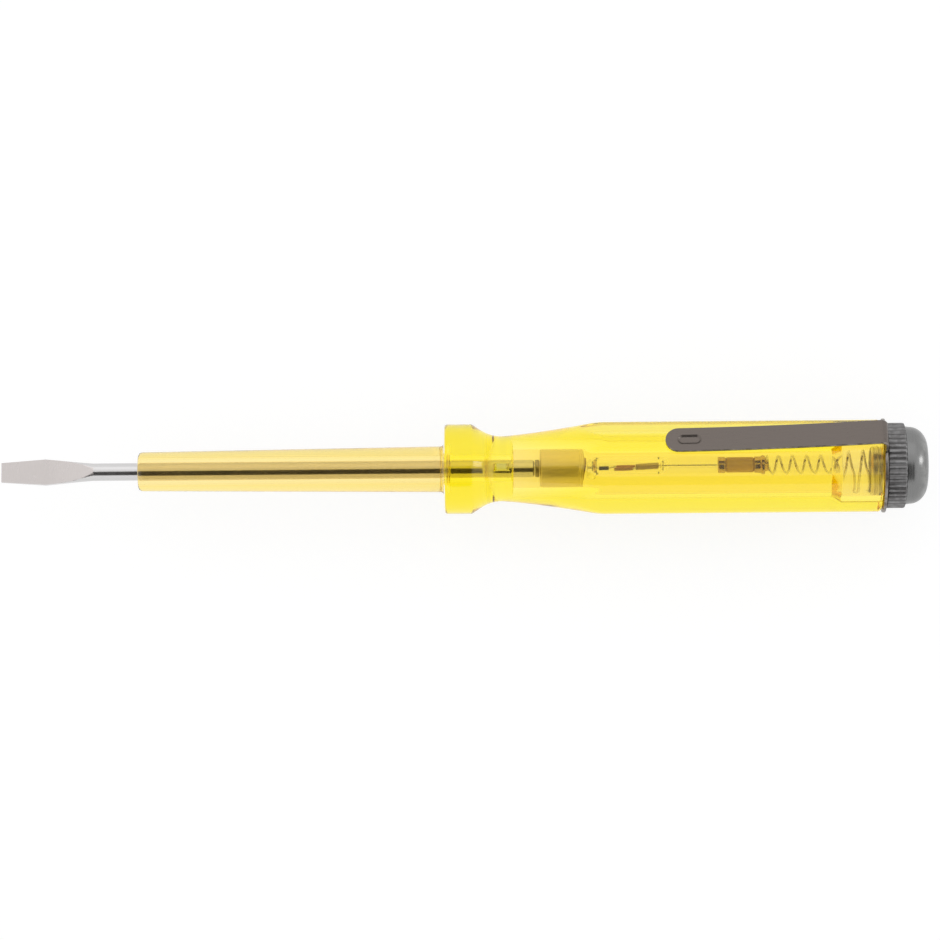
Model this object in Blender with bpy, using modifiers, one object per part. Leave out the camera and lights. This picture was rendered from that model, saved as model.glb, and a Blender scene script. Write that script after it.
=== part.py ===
"""Voltage tester screwdriver with a clear six-sided handle, in metres, +Z up.

The tool lies along +X. The origin is the centre of the blade tip's end face, the touch contact is at the
far end, and one flat of the handle faces straight up. The test circuit stands in the handle's bore, end to
end: shank, disc, cup, neon lamp, resistor, spring and cap."""

import math

import bmesh
import bpy

# Clearances between pieces, and how far a cutter runs past what it cuts
FIT_GAP = 0.0001
SEAT_GAP = 0.0002
TURNING_GAP = 0.0003
OVERRUN = 0.001
WELD = 0.000001

# Blade and shank: one rod, forged wide and ground flat at the tip
TIP_WIDTH = 0.0040
TIP_THICKNESS = 0.0007
FLARE_AT = 0.0092
FLARE_WIDTH = 0.00525
FLARE_THICKNESS = 0.0015
BLADE_LENGTH = 0.0190
BLADE_SQUARENESS = 8.0
FLARE_SQUARENESS = 5.0
ROUND_SQUARENESS = 2.0
FLARE_RUN_OUT_POWER = 1.15
GRIND_RUN_OUT_POWER = 1.5
SHANK_DIAMETER = 0.0036
BARE_SHANK = 0.0091
WING_SPAN = 0.0056
WING_LENGTH = 0.0045
WING_THICKNESS = 0.0012
SHANK_REACH = 0.0046

# Insulating sleeve on the shank, with a spigot that enters the collar
SLEEVE_LENGTH = 0.0629
SLEEVE_FRONT_DIAMETER = 0.0080
SLEEVE_REAR_DIAMETER = 0.0094
SLEEVE_NOSE_RADIUS = 0.0012
SLEEVE_FILLET = 0.0007
SPIGOT_DIAMETER = 0.0066
SPIGOT_LENGTH = 0.0050

# Handle: collar, waist, neck, flare and six-sided grip
COLLAR_DIAMETER = 0.0184
COLLAR_WIDTH = 0.0055
COLLAR_EDGE = 0.0006
WAIST_LENGTH = 0.0061
NECK_DIAMETER = 0.0134
FLARE_LENGTH = 0.0201
GRIP_LENGTH = 0.0578
GRIP_ACROSS_FLATS = 0.0175
GRIP_CORNER_RADIUS = 0.0039
GRIP_SIDES = 6
GRIP_END_CHAMFER = 0.0005
WAIST_CURVE_POWER = 0.62
FLARE_CURVE_POWER = 1.3

# Bore of the handle: a parallel part for the circuit, and a wider mouth for the cap's thread
BORE_SETBACK = 0.0024
BORE_DIAMETER = 0.0080
MOUTH_DIAMETER = 0.0112
MOUTH_DEPTH = 0.0105
MOUTH_CONE = 0.0022

# Contact disc and cup at the end of the shank
DISC_DIAMETER = 0.0036
DISC_THICKNESS = 0.0008
CUP_LENGTH = 0.0088
CUP_WALL = 0.0005
CUP_FLOOR = 0.0010
CUP_LIP = 0.0004

# Neon lamp
BASE_DIAMETER = 0.0052
BASE_PROUD = 0.0003
GLASS_DIAMETER = 0.0052
GLASS_WALL = 0.0005
GLASS_LENGTH = 0.0166
GLASS_SEAL = 0.0012
LEAD_DIAMETER = 0.0005
BEAD_DIAMETER = 0.0016
BEAD_LENGTH = 0.0020
BEAD_SETBACK = 0.0024
ELECTRODE_DIAMETER = 0.0010
ELECTRODE_LENGTH = 0.0043
ELECTRODE_SPACING = 0.0018
ELECTRODE_SETBACK = 0.0055
ELECTRODE_BEND = 0.0008
STEM_DIAMETER = 0.0022
STEM_LENGTH = 0.0051
STEM_SETBACK = 0.0016

# Resistor between the lamp and the spring
LINK_LENGTH = 0.0102
CORE_DIAMETER = 0.0042
CORE_LENGTH = 0.0080
CAP_WALL = 0.0003
CAP_SKIRT = 0.0012
SPRING_FLANGE_DIAMETER = 0.0058
SPRING_FLANGE_THICKNESS = 0.0009
SPRING_BOSS_LENGTH = 0.0008

# Contact spring: narrow turns in the parallel bore, then wider ones in the mouth, up to the cap
SPRING_DIAMETER = 0.0060
SPRING_REAR_DIAMETER = 0.0090
SPRING_WIRE = 0.0005
SPRING_TURNS = 8
SPRING_NARROW_SHARE = 0.62
SPRING_WIDE_SHARE = 0.80
POINTS_A_TURN = 10

# Pocket clip: a ring, a tab that leaves it and an arm that runs forward over the grip
CLIP_THICKNESS = 0.0006
CLIP_WIDTH = 0.0055
CLIP_RING_DIAMETER = 0.0193
CLIP_LENGTH = 0.0450
CLIP_ROOT_HEIGHT = 0.0129
CLIP_TIP_GAP = 0.00015
CLIP_BEND_RADIUS = 0.0013
CLIP_STRAIGHT_SHARE = 0.35
CLIP_BEND_START_DEG = 75
CLIP_ROLL_DEG = 24
DIMPLE_LENGTH = 0.0050
DIMPLE_WIDTH = 0.0022
DIMPLE_DEPTH = 0.0004
DIMPLE_LIFT = 0.0001
DIMPLE_FROM_TIP = 0.0052

# End cap and touch contact
THREAD_DIAMETER = 0.0108
THREAD_ENGAGED = 0.0024
THREAD_CHAMFER = 0.0004
SPRING_SEAT_DEPTH = 0.0012
KNURL_DIAMETER = 0.0175
KNURL_WIDTH = 0.0035
KNURL_TEETH = 45
KNURL_DEPTH = 0.0004
KNURL_CHAMFER = 0.0004
DOME_DIAMETER = 0.0161
DOME_LENGTH = 0.0048
DOME_FACE_DIAMETER = 0.0076
DOME_SIDE_SHARE = 0.42
DOME_SHOULDER_SHARE = 0.90
DOME_SHANK_DIAMETER = 0.0110
DOME_SHANK_LENGTH = 0.0020

# Stations along the tool, each worked out from the pieces in front of it
SLEEVE_FRONT = BLADE_LENGTH + BARE_SHANK
COLLAR_FRONT = SLEEVE_FRONT + SLEEVE_LENGTH
COLLAR_REAR = COLLAR_FRONT + COLLAR_WIDTH
NECK_AT = COLLAR_REAR + WAIST_LENGTH
GRIP_FRONT = NECK_AT + FLARE_LENGTH
HANDLE_END = GRIP_FRONT + GRIP_LENGTH
BORE_FRONT = NECK_AT + BORE_SETBACK
SHANK_END = BORE_FRONT + SHANK_REACH
DISC_FRONT = SHANK_END + SEAT_GAP
CUP_FRONT = DISC_FRONT + DISC_THICKNESS + SEAT_GAP
CUP_REAR = CUP_FRONT + CUP_LENGTH
BASE_FRONT = CUP_FRONT + CUP_FLOOR + SEAT_GAP
BASE_REAR = CUP_REAR + BASE_PROUD
GLASS_FRONT = BASE_REAR + SEAT_GAP
GLASS_REAR = GLASS_FRONT + GLASS_LENGTH
STEM_FRONT = GLASS_REAR - STEM_SETBACK - STEM_LENGTH
RESISTOR_FRONT = GLASS_REAR + LINK_LENGTH
CORE_FRONT = RESISTOR_FRONT + CAP_WALL + SEAT_GAP
FLANGE_FRONT = CORE_FRONT + CORE_LENGTH + SEAT_GAP
SPRING_FRONT = FLANGE_FRONT + SPRING_FLANGE_THICKNESS + SEAT_GAP
CLIP_RING_FRONT = HANDLE_END + SEAT_GAP
KNURL_FRONT = CLIP_RING_FRONT + CLIP_THICKNESS + SEAT_GAP
THREAD_FRONT = HANDLE_END - THREAD_ENGAGED
SPRING_REAR = THREAD_FRONT + SPRING_SEAT_DEPTH - SEAT_GAP
DOME_FRONT = KNURL_FRONT + KNURL_WIDTH + SEAT_GAP

# Colours, as linear values
CLEAR_YELLOW = (0.93, 0.78, 0.10)
PALE_YELLOW = (0.94, 0.82, 0.30)
BARE_STEEL = (0.60, 0.58, 0.57)
DARK_STEEL = (0.17, 0.16, 0.16)
CAP_METAL = (0.22, 0.22, 0.22)
BRASS = (0.72, 0.47, 0.16)
NICKEL = (0.45, 0.43, 0.39)
LAMP_CLEAR = (0.95, 0.95, 0.95)
GLOWING_COAT = (0.75, 0.16, 0.03)
DARK_BEAD = (0.10, 0.08, 0.05)
BROWN_RESIN = (0.26, 0.11, 0.03)

ROUND_SEGMENTS = 48
SMALL_SEGMENTS = 24
TUBE_RESOLUTION = 1
SMOOTH_ANGLE = math.radians(30)


def clear_scene():
    for obj in list(bpy.data.objects):
        bpy.data.objects.remove(obj, do_unlink=True)


def new_collection(name):
    made = bpy.data.collections.new(name)
    bpy.context.scene.collection.children.link(made)
    return made


clear_scene()
TOOL = new_collection("voltage_tester_screwdriver")
CUTTERS = new_collection("cutters")


def material(name, colour, roughness, metallic=0.0, transmission=0.0):
    made = bpy.data.materials.new(name)
    made.use_nodes = True
    shader = made.node_tree.nodes["Principled BSDF"]
    shader.inputs["Base Color"].default_value = (*colour, 1.0)
    shader.inputs["Roughness"].default_value = roughness
    shader.inputs["Metallic"].default_value = metallic
    shader.inputs["Transmission Weight"].default_value = transmission
    return made


def finish(obj, finish_material):
    """Gives a piece its material and smooth shading that keeps its sharp edges."""
    obj.data.materials.clear()
    obj.data.materials.append(finish_material)
    if obj.type == "MESH":
        obj.data.shade_smooth()
        obj.data.set_sharp_from_angle(angle=SMOOTH_ANGLE)


def as_cutter(obj):
    obj.hide_render = True
    obj.display_type = "WIRE"


def arc(along, across, radius, start_deg, end_deg, steps=4):
    """Points of an arc about (along, across), with its angles counted from the first axis."""
    angles = [math.radians(start_deg + (end_deg - start_deg) * i / steps) for i in range(steps + 1)]
    return [(along + radius * math.cos(a), across + radius * math.sin(a)) for a in angles]


def turned(name, outline, front, segments=SMALL_SEGMENTS, hollow=False, collection=TOOL):
    """A piece turned about the tool's axis, its front at the given station.

    The outline is (distance behind the front, radius), from front to rear along the outside. It starts and
    ends on the axis, or, where hollow, comes back to the front along the inside."""
    points = [(radius, 0.0, along) for along, radius in reversed(outline)]
    edges = [(i, i + 1) for i in range(len(points) - 1)]
    if hollow:
        edges.append((len(points) - 1, 0))
    mesh = bpy.data.meshes.new(name)
    mesh.from_pydata(points, edges, [])
    obj = bpy.data.objects.new(name, mesh)
    collection.objects.link(obj)
    obj.location.x = front
    obj.rotation_euler.y = math.radians(90)
    screw = obj.modifiers.new("turn", "SCREW")
    screw.axis = "Z"
    screw.angle = math.radians(360)
    screw.steps = segments
    screw.render_steps = segments
    screw.use_merge_vertices = True
    screw.merge_threshold = WELD
    screw.use_smooth_shade = True
    return obj


def flat_outline(name, loops, thickness, collection):
    """A plate about its local XY plane: the first loop is its outside and the others are holes."""
    curve = bpy.data.curves.new(name, "CURVE")
    curve.dimensions = "2D"
    curve.fill_mode = "BOTH"
    curve.extrude = thickness / 2
    for loop in loops:
        spline = curve.splines.new("POLY")
        spline.points.add(len(loop) - 1)
        for point, (x, y) in zip(spline.points, loop):
            point.co = (x, y, 0.0, 1.0)
        spline.use_cyclic_u = True
    obj = bpy.data.objects.new(name, curve)
    collection.objects.link(obj)
    return obj


def made_mesh(curve_obj):
    """The same solid as a mesh object with welded caps, so that it can be cut or can cut."""
    bpy.context.view_layer.update()
    evaluated = curve_obj.evaluated_get(bpy.context.evaluated_depsgraph_get())
    mesh = bpy.data.meshes.new_from_object(evaluated)
    shape = bmesh.new()
    shape.from_mesh(mesh)
    bmesh.ops.remove_doubles(shape, verts=shape.verts, dist=WELD)
    bmesh.ops.recalc_face_normals(shape, faces=shape.faces)
    shape.to_mesh(mesh)
    shape.free()
    name = curve_obj.name
    home = curve_obj.users_collection[0]
    place = curve_obj.matrix_world.copy()
    bpy.data.objects.remove(curve_obj, do_unlink=True)
    obj = bpy.data.objects.new(name, mesh)
    home.objects.link(obj)
    obj.matrix_world = place
    return obj


def boolean(obj, operation, other):
    modifier = obj.modifiers.new(operation.lower(), "BOOLEAN")
    modifier.operation = operation
    modifier.solver = "EXACT"
    modifier.object = other
    as_cutter(other)


def ring_cutter(name, inner_loop, outer_radius, front, rear):
    """A thick ring about the tool's axis, whose hole has the given outline."""
    rim = arc(0.0, 0.0, outer_radius, 0, 360, ROUND_SEGMENTS)[:-1]
    ring = flat_outline(name, [rim, inner_loop], rear - front, CUTTERS)
    ring.location.x = (front + rear) / 2
    ring.rotation_euler.y = math.radians(90)
    return made_mesh(ring)


def wire(name, points, diameter, radii=None):
    """A round wire through the points; radii are factors on its own radius, point by point."""
    curve = bpy.data.curves.new(name, "CURVE")
    curve.dimensions = "3D"
    curve.bevel_depth = diameter / 2
    curve.bevel_resolution = TUBE_RESOLUTION
    curve.use_fill_caps = True
    spline = curve.splines.new("POLY")
    spline.points.add(len(points) - 1)
    for i, place in enumerate(points):
        spline.points[i].co = (*place, 1.0)
        spline.points[i].radius = radii[i] if radii else 1.0
    obj = bpy.data.objects.new(name, curve)
    TOOL.objects.link(obj)
    return obj


def joint_empty(name, station):
    """An empty on the tool's axis that the pieces of one moving group hang from."""
    empty = bpy.data.objects.new(name, None)
    empty.location.x = station
    empty.empty_display_size = BORE_DIAMETER
    TOOL.objects.link(empty)
    return empty


def carry(empty, *pieces):
    bpy.context.view_layer.update()
    for piece in pieces:
        piece.parent = empty
        piece.matrix_parent_inverse = empty.matrix_world.inverted()


def blade_section(along):
    """Half width and squareness of the forged blank, before the flats are ground."""
    if along < FLARE_AT:
        half_width = TIP_WIDTH / 2 + (FLARE_WIDTH - TIP_WIDTH) / 2 * along / FLARE_AT
        return half_width, BLADE_SQUARENESS
    run = min(1.0, (along - FLARE_AT) / (BLADE_LENGTH - FLARE_AT))
    ease = (1 - run) ** FLARE_RUN_OUT_POWER
    half_width = SHANK_DIAMETER / 2 + (FLARE_WIDTH - SHANK_DIAMETER) / 2 * ease
    return half_width, ROUND_SQUARENESS + (FLARE_SQUARENESS - ROUND_SQUARENESS) * ease


def lofted_blank(name):
    """The rod with its forged end: sections that go from a rectangle to a circle, joined ring to ring."""
    blend_steps = 10
    stations = [0.0, FLARE_AT / 2]
    stations += [FLARE_AT + (BLADE_LENGTH - FLARE_AT) * i / blend_steps for i in range(blend_steps + 1)]
    stations.append(SHANK_END)
    shape = bmesh.new()
    rings = []
    for along in stations:
        half_width, squareness = blade_section(along)
        ring = []
        for i in range(SMALL_SEGMENTS):
            angle = math.radians(360 * (i + 0.5) / SMALL_SEGMENTS)
            cosine, sine = math.cos(angle), math.sin(angle)
            y = half_width * math.copysign(abs(cosine) ** (2 / squareness), cosine)
            z = SHANK_DIAMETER / 2 * math.copysign(abs(sine) ** (2 / squareness), sine)
            ring.append(shape.verts.new((along, y, z)))
        rings.append(ring)
    for front, rear in zip(rings, rings[1:]):
        for i in range(SMALL_SEGMENTS):
            j = (i + 1) % SMALL_SEGMENTS
            shape.faces.new((front[i], front[j], rear[j], rear[i]))
    shape.faces.new(rings[0])
    shape.faces.new(rings[-1])
    bmesh.ops.recalc_face_normals(shape, faces=shape.faces)
    mesh = bpy.data.meshes.new(name)
    shape.to_mesh(mesh)
    shape.free()
    obj = bpy.data.objects.new(name, mesh)
    TOOL.objects.link(obj)
    return obj


def grinding_cutter(name, side):
    """What the wheel takes off one face of the blade: a straight taper, then a hollow run-out."""
    top = SHANK_DIAMETER / 2 + OVERRUN
    outline = [(-OVERRUN, top), (-OVERRUN, TIP_THICKNESS / 2), (0.0, TIP_THICKNESS / 2)]
    steps = 8
    for i in range(steps + 1):
        run = i / steps
        rise = (SHANK_DIAMETER - FLARE_THICKNESS) / 2 * run**GRIND_RUN_OUT_POWER
        outline.append((FLARE_AT + (BLADE_LENGTH - FLARE_AT) * run, FLARE_THICKNESS / 2 + rise))
    outline.append((BLADE_LENGTH + OVERRUN, top))
    cutter = flat_outline(name, [outline], FLARE_WIDTH + 2 * OVERRUN, CUTTERS)
    cutter.rotation_euler.x = math.radians(90 * side)
    return made_mesh(cutter)


def wing_plate(name, gap, collection):
    """The ears pressed out of the shank, square to the blade's flats, or the pocket that they leave.

    They stop the shank from turning in the handle."""
    half_length = WING_LENGTH / 2 + gap
    half_span = WING_SPAN / 2 + gap
    outline = [
        (-half_length, SHANK_DIAMETER / 4),
        (-half_length / 2, half_span),
        (half_length / 2, half_span),
        (half_length, SHANK_DIAMETER / 4),
        (half_length, -SHANK_DIAMETER / 4),
        (half_length / 2, -half_span),
        (-half_length / 2, -half_span),
        (-half_length, -SHANK_DIAMETER / 4),
    ]
    plate = flat_outline(name, [outline], WING_THICKNESS + 2 * gap, collection)
    plate.location.x = NECK_AT
    plate.rotation_euler.x = math.radians(90)
    return made_mesh(plate)


def blade_shank():
    blank = lofted_blank("blade_shank")
    boolean(blank, "DIFFERENCE", grinding_cutter("upper_grind", 1))
    boolean(blank, "DIFFERENCE", grinding_cutter("lower_grind", -1))
    boolean(blank, "UNION", wing_plate("pressed_wings", 0.0, CUTTERS))
    finish(blank, material("bare_steel", BARE_STEEL, 0.3, 1.0))
    return blank


def insulation_sleeve():
    nose = SLEEVE_FRONT_DIAMETER / 2 - SLEEVE_NOSE_RADIUS
    rear = SLEEVE_REAR_DIAMETER / 2
    face = SLEEVE_LENGTH - SEAT_GAP
    inner = SHANK_DIAMETER / 2 + FIT_GAP
    end = SLEEVE_LENGTH + SPIGOT_LENGTH - SEAT_GAP
    outline = arc(SLEEVE_NOSE_RADIUS, nose, SLEEVE_NOSE_RADIUS, 180, 90)
    outline += arc(face - SLEEVE_FILLET, rear + SLEEVE_FILLET, SLEEVE_FILLET, 270, 360)
    outline += [(face, SPIGOT_DIAMETER / 2), (end, SPIGOT_DIAMETER / 2), (end, inner), (0.0, inner)]
    sleeve = turned("insulation_sleeve", outline, SLEEVE_FRONT, ROUND_SEGMENTS, hollow=True)
    finish(sleeve, material("pale_yellow_plastic", PALE_YELLOW, 0.08, transmission=1.0))
    return sleeve


def corner_reach():
    """Distance from the tool's axis to the centre of a grip corner's rounding."""
    return (GRIP_ACROSS_FLATS / 2 - GRIP_CORNER_RADIUS) / math.cos(math.pi / GRIP_SIDES)


def rounded_hexagon(steps=6):
    """Outline of the grip, with one flat square to each end of the first axis."""
    turn = 360 / GRIP_SIDES
    outline = []
    for corner in range(GRIP_SIDES):
        angle = math.radians(turn * (corner + 0.5))
        x, y = corner_reach() * math.cos(angle), corner_reach() * math.sin(angle)
        outline += arc(x, y, GRIP_CORNER_RADIUS, turn * corner, turn * (corner + 1), steps)
    return outline


def handle_outside():
    """Collar, waist, neck, flare and round blank of the grip, from the collar's face to the rear end."""
    collar = COLLAR_DIAMETER / 2
    neck = NECK_DIAMETER / 2
    corner = corner_reach() + GRIP_CORNER_RADIUS
    end = HANDLE_END - COLLAR_FRONT
    outline = arc(COLLAR_EDGE, collar - COLLAR_EDGE, COLLAR_EDGE, 180, 90, 3)
    steps = 10
    for i in range(steps):
        run = i / steps
        drop = (1 + math.cos(math.pi * run**WAIST_CURVE_POWER)) / 2
        outline.append((COLLAR_WIDTH + WAIST_LENGTH * run, neck + (collar - neck) * drop))
    # The flare runs on until it is clear of the corners, so that the flats alone shape the grip behind it.
    for i in range(steps + 2):
        run = i / steps
        rise = (corner - neck) * run**FLARE_CURVE_POWER
        outline.append((NECK_AT - COLLAR_FRONT + FLARE_LENGTH * run, neck + rise))
    blank = outline[-1][1]
    outline.append((end - GRIP_END_CHAMFER - blank + corner, blank))
    outline.append((end, corner - GRIP_END_CHAMFER))
    return outline


def handle_inside():
    """Mouth, cone, bore, shank hole and spigot socket, from the rear end back to the collar's face."""
    end = HANDLE_END - COLLAR_FRONT
    floor = BORE_FRONT - COLLAR_FRONT
    mouth = MOUTH_DIAMETER / 2
    bore = BORE_DIAMETER / 2
    shank_hole = SHANK_DIAMETER / 2 + FIT_GAP
    socket = SPIGOT_DIAMETER / 2 + FIT_GAP
    return [
        (end, mouth),
        (end - MOUTH_DEPTH + MOUTH_CONE, mouth),
        (end - MOUTH_DEPTH, bore),
        (floor, bore),
        (floor, shank_hole),
        (SPIGOT_LENGTH, shank_hole),
        (SPIGOT_LENGTH, socket),
        (0.0, socket),
    ]


def handle_body():
    outline = handle_outside() + handle_inside()
    handle = turned("handle_body", outline, COLLAR_FRONT, ROUND_SEGMENTS, hollow=True)
    outside = GRIP_ACROSS_FLATS
    flats = ring_cutter("grip_flats", rounded_hexagon(), outside, NECK_AT, HANDLE_END + OVERRUN)
    boolean(handle, "DIFFERENCE", flats)
    boolean(handle, "DIFFERENCE", wing_plate("wing_pocket", FIT_GAP, CUTTERS))
    finish(handle, material("clear_yellow_plastic", CLEAR_YELLOW, 0.08, transmission=1.0))
    return handle


def contact_disc():
    radius = DISC_DIAMETER / 2
    outline = [(0.0, 0.0), (0.0, radius), (DISC_THICKNESS, radius), (DISC_THICKNESS, 0.0)]
    disc = turned("contact_disc", outline, DISC_FRONT)
    finish(disc, material("dark_steel_disc", DARK_STEEL, 0.4, 1.0))
    return disc


def contact_cup():
    outer = BORE_DIAMETER / 2 - FIT_GAP
    inner = outer - CUP_WALL
    outline = [(0.0, 0.0), (0.0, outer - CUP_LIP), (CUP_LIP, outer), (CUP_LENGTH, outer)]
    outline += [(CUP_LENGTH, inner), (CUP_FLOOR, inner), (CUP_FLOOR, 0.0)]
    cup = turned("contact_cup", outline, CUP_FRONT)
    finish(cup, material("brass", BRASS, 0.3, 1.0))
    return cup


def lamp_base():
    radius = BASE_DIAMETER / 2
    length = BASE_REAR - BASE_FRONT
    outline = [(0.0, 0.0), (0.0, radius - CUP_LIP), (CUP_LIP, radius), (length, radius), (length, 0.0)]
    base = turned("lamp_base", outline, BASE_FRONT)
    finish(base, material("dull_brass", BRASS, 0.45, 1.0))
    return base


def lamp_glass():
    """A bulb with its ends drawn in to the leads."""
    outer = GLASS_DIAMETER / 2
    inner = outer - GLASS_WALL
    hole = LEAD_DIAMETER / 2 + FIT_GAP
    shoulder = outer - hole - GLASS_WALL
    inside = inner - hole - GLASS_WALL
    outline = arc(shoulder, outer - shoulder, shoulder, 180, 90)
    outline += arc(GLASS_LENGTH - shoulder, outer - shoulder, shoulder, 90, 0)
    outline += [(GLASS_LENGTH, hole), (GLASS_LENGTH - GLASS_SEAL, hole)]
    outline += arc(GLASS_LENGTH - GLASS_SEAL - inside, inner - inside, inside, 0, 90)
    outline += arc(GLASS_SEAL + inside, inner - inside, inside, 90, 180)
    outline += [(GLASS_SEAL, hole), (0.0, hole)]
    glass = turned("lamp_glass", outline, GLASS_FRONT, hollow=True)
    finish(glass, material("lamp_clear_glass", LAMP_CLEAR, 0.02, transmission=1.0))
    return glass


def bead(name, length, diameter, front, bead_material):
    """A round bead with a hole for the lead."""
    radius = diameter / 2
    hole = LEAD_DIAMETER / 2 + FIT_GAP
    soft = (radius - hole) / 2
    outline = arc(soft, radius - soft, soft, 180, 90, 3) + arc(length - soft, radius - soft, soft, 90, 0, 3)
    outline += [(length, hole), (0.0, hole)]
    made = turned(name, outline, front, hollow=True)
    finish(made, bead_material)
    return made


def lamp_front_electrode():
    start = GLASS_FRONT
    front = GLASS_FRONT + ELECTRODE_SETBACK
    side = ELECTRODE_SPACING / 2
    points = [(start, 0.0, 0.0), (front - ELECTRODE_BEND, 0.0, 0.0), (front, side, 0.0)]
    points += [(front + ELECTRODE_BEND / 2, side, 0.0), (front + ELECTRODE_LENGTH, side, 0.0)]
    thick = ELECTRODE_DIAMETER / LEAD_DIAMETER
    lead = wire("lamp_front_electrode", points, LEAD_DIAMETER, [1.0, 1.0, thick, thick, thick])
    finish(lead, material("glowing_coat", GLOWING_COAT, 0.5))
    return lead


def lamp_rear_electrode():
    end = RESISTOR_FRONT - SEAT_GAP
    front = GLASS_FRONT + ELECTRODE_SETBACK
    rear = front + ELECTRODE_LENGTH - ELECTRODE_BEND
    side = -ELECTRODE_SPACING / 2
    points = [(end, 0.0, 0.0), (rear + ELECTRODE_BEND, 0.0, 0.0), (rear, side, 0.0)]
    points += [(rear - ELECTRODE_BEND / 2, side, 0.0), (front, side, 0.0)]
    thick = ELECTRODE_DIAMETER / LEAD_DIAMETER
    lead = wire("lamp_rear_electrode", points, LEAD_DIAMETER, [1.0, 1.0, thick, thick, thick])
    finish(lead, material("glowing_coat_rear", GLOWING_COAT, 0.5))
    return lead


def resistor_core():
    radius = CORE_DIAMETER / 2
    outline = [(0.0, 0.0), (0.0, radius), (CORE_LENGTH, radius), (CORE_LENGTH, 0.0)]
    core = turned("resistor_core", outline, CORE_FRONT)
    finish(core, material("brown_resin", BROWN_RESIN, 0.35))
    return core


def resistor_front_cap():
    inner = CORE_DIAMETER / 2 + FIT_GAP
    outer = inner + CAP_WALL
    skirt = CAP_WALL + CAP_SKIRT
    outline = [(0.0, 0.0), (0.0, inner), (CAP_WALL, outer), (skirt, outer)]
    outline += [(skirt, inner), (CAP_WALL, inner), (CAP_WALL, 0.0)]
    cap = turned("resistor_front_cap", outline, RESISTOR_FRONT)
    finish(cap, material("nickel_cap", NICKEL, 0.35, 1.0))
    return cap


def resistor_rear_cap():
    """A cap with a flange for the spring and a boss that keeps the spring central."""
    inner = CORE_DIAMETER / 2 + FIT_GAP
    outer = inner + CAP_WALL
    flange = SPRING_FLANGE_DIAMETER / 2
    boss = SPRING_DIAMETER / 2 - SPRING_WIRE - TURNING_GAP
    floor = CAP_SKIRT + CAP_WALL
    back = CAP_SKIRT + SPRING_FLANGE_THICKNESS
    end = back + SPRING_BOSS_LENGTH
    outline = [(CAP_SKIRT, 0.0), (CAP_SKIRT, inner), (0.0, inner), (0.0, outer), (CAP_SKIRT, outer)]
    outline += [(floor, flange), (back, flange), (back, boss), (end, boss - CAP_WALL), (end, 0.0)]
    cap = turned("resistor_rear_cap", outline, FLANGE_FRONT - CAP_SKIRT)
    finish(cap, material("nickel_flange", NICKEL, 0.35, 1.0))
    return cap


def least_gap(points, diameter, apart):
    """The least distance between the surfaces of turns that are at least the given count of points apart."""
    closest = math.inf
    for i, first in enumerate(points):
        for second in points[i + apart :]:
            closest = min(closest, math.dist(first, second))
    return closest - diameter


def spring_radius(run):
    """Radius of the wire's middle line, from the front end (0) to the rear end (1)."""
    narrow = (SPRING_DIAMETER - SPRING_WIRE) / 2
    wide = (SPRING_REAR_DIAMETER - SPRING_WIRE) / 2
    spread = (run - SPRING_NARROW_SHARE) / (SPRING_WIDE_SHARE - SPRING_NARROW_SHARE)
    return narrow + (wide - narrow) * min(max(spread, 0), 1)


def contact_spring():
    """One helix whose two ends run straight along the axis, square to the faces that they meet."""
    front = SPRING_FRONT + SPRING_WIRE
    rear = SPRING_REAR - SPRING_WIRE
    count = SPRING_TURNS * POINTS_A_TURN
    points = [(SPRING_FRONT, 0.0, spring_radius(0))]
    for i in range(count + 1):
        angle = math.radians(360 * i / POINTS_A_TURN)
        along = front + (rear - front) * i / count
        radius = spring_radius(i / count)
        points.append((along, radius * math.sin(angle), radius * math.cos(angle)))
    points.append((SPRING_REAR, 0.0, radius))
    gap = least_gap(points, SPRING_WIRE, POINTS_A_TURN * 3 // 4)
    print(f"contact_spring: {SPRING_TURNS} turns, least gap between turns {gap * 1000:.2f} mm")
    spring = wire("contact_spring", points, SPRING_WIRE)
    finish(spring, material("spring_steel", BARE_STEEL, 0.35, 1.0))
    return spring


def clip_arm_height(run):
    """Height of the arm's middle above the axis, from the tip (0) to the root (1)."""
    rise = CLIP_STRAIGHT_SHARE * run + (1 - CLIP_STRAIGHT_SHARE) * run**2
    corner = corner_reach() + GRIP_CORNER_RADIUS
    tip = corner + CLIP_TIP_GAP + DIMPLE_DEPTH + CLIP_THICKNESS / 2
    return tip + (CLIP_ROOT_HEIGHT - tip) * rise


def clip_path():
    """Middle line of the strip in side view, from the tip, round the bend and down into the ring."""
    tab = CLIP_RING_FRONT + CLIP_THICKNESS / 2
    root = tab - CLIP_BEND_RADIUS
    tip = tab - CLIP_LENGTH
    steps = 12
    path = []
    for i in range(steps + 1):
        run = i / steps
        path.append((tip + (root - tip) * run, clip_arm_height(run)))
    path += arc(root, CLIP_ROOT_HEIGHT - CLIP_BEND_RADIUS, CLIP_BEND_RADIUS, CLIP_BEND_START_DEG, 0, 5)
    path.append((tab, (THREAD_DIAMETER + CLIP_RING_DIAMETER) / 4))
    return path


def strip_outline(path, thickness):
    """Both sides of a strip of the given thickness about its middle line."""
    left, right = [], []
    for i, (x, y) in enumerate(path):
        before = path[max(i - 1, 0)]
        after = path[min(i + 1, len(path) - 1)]
        dx, dy = after[0] - before[0], after[1] - before[1]
        length = math.hypot(dx, dy)
        nx, ny = -dy / length * thickness / 2, dx / length * thickness / 2
        left.append((x + nx, y + ny))
        right.append((x - nx, y - ny))
    return left + right[::-1]


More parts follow.
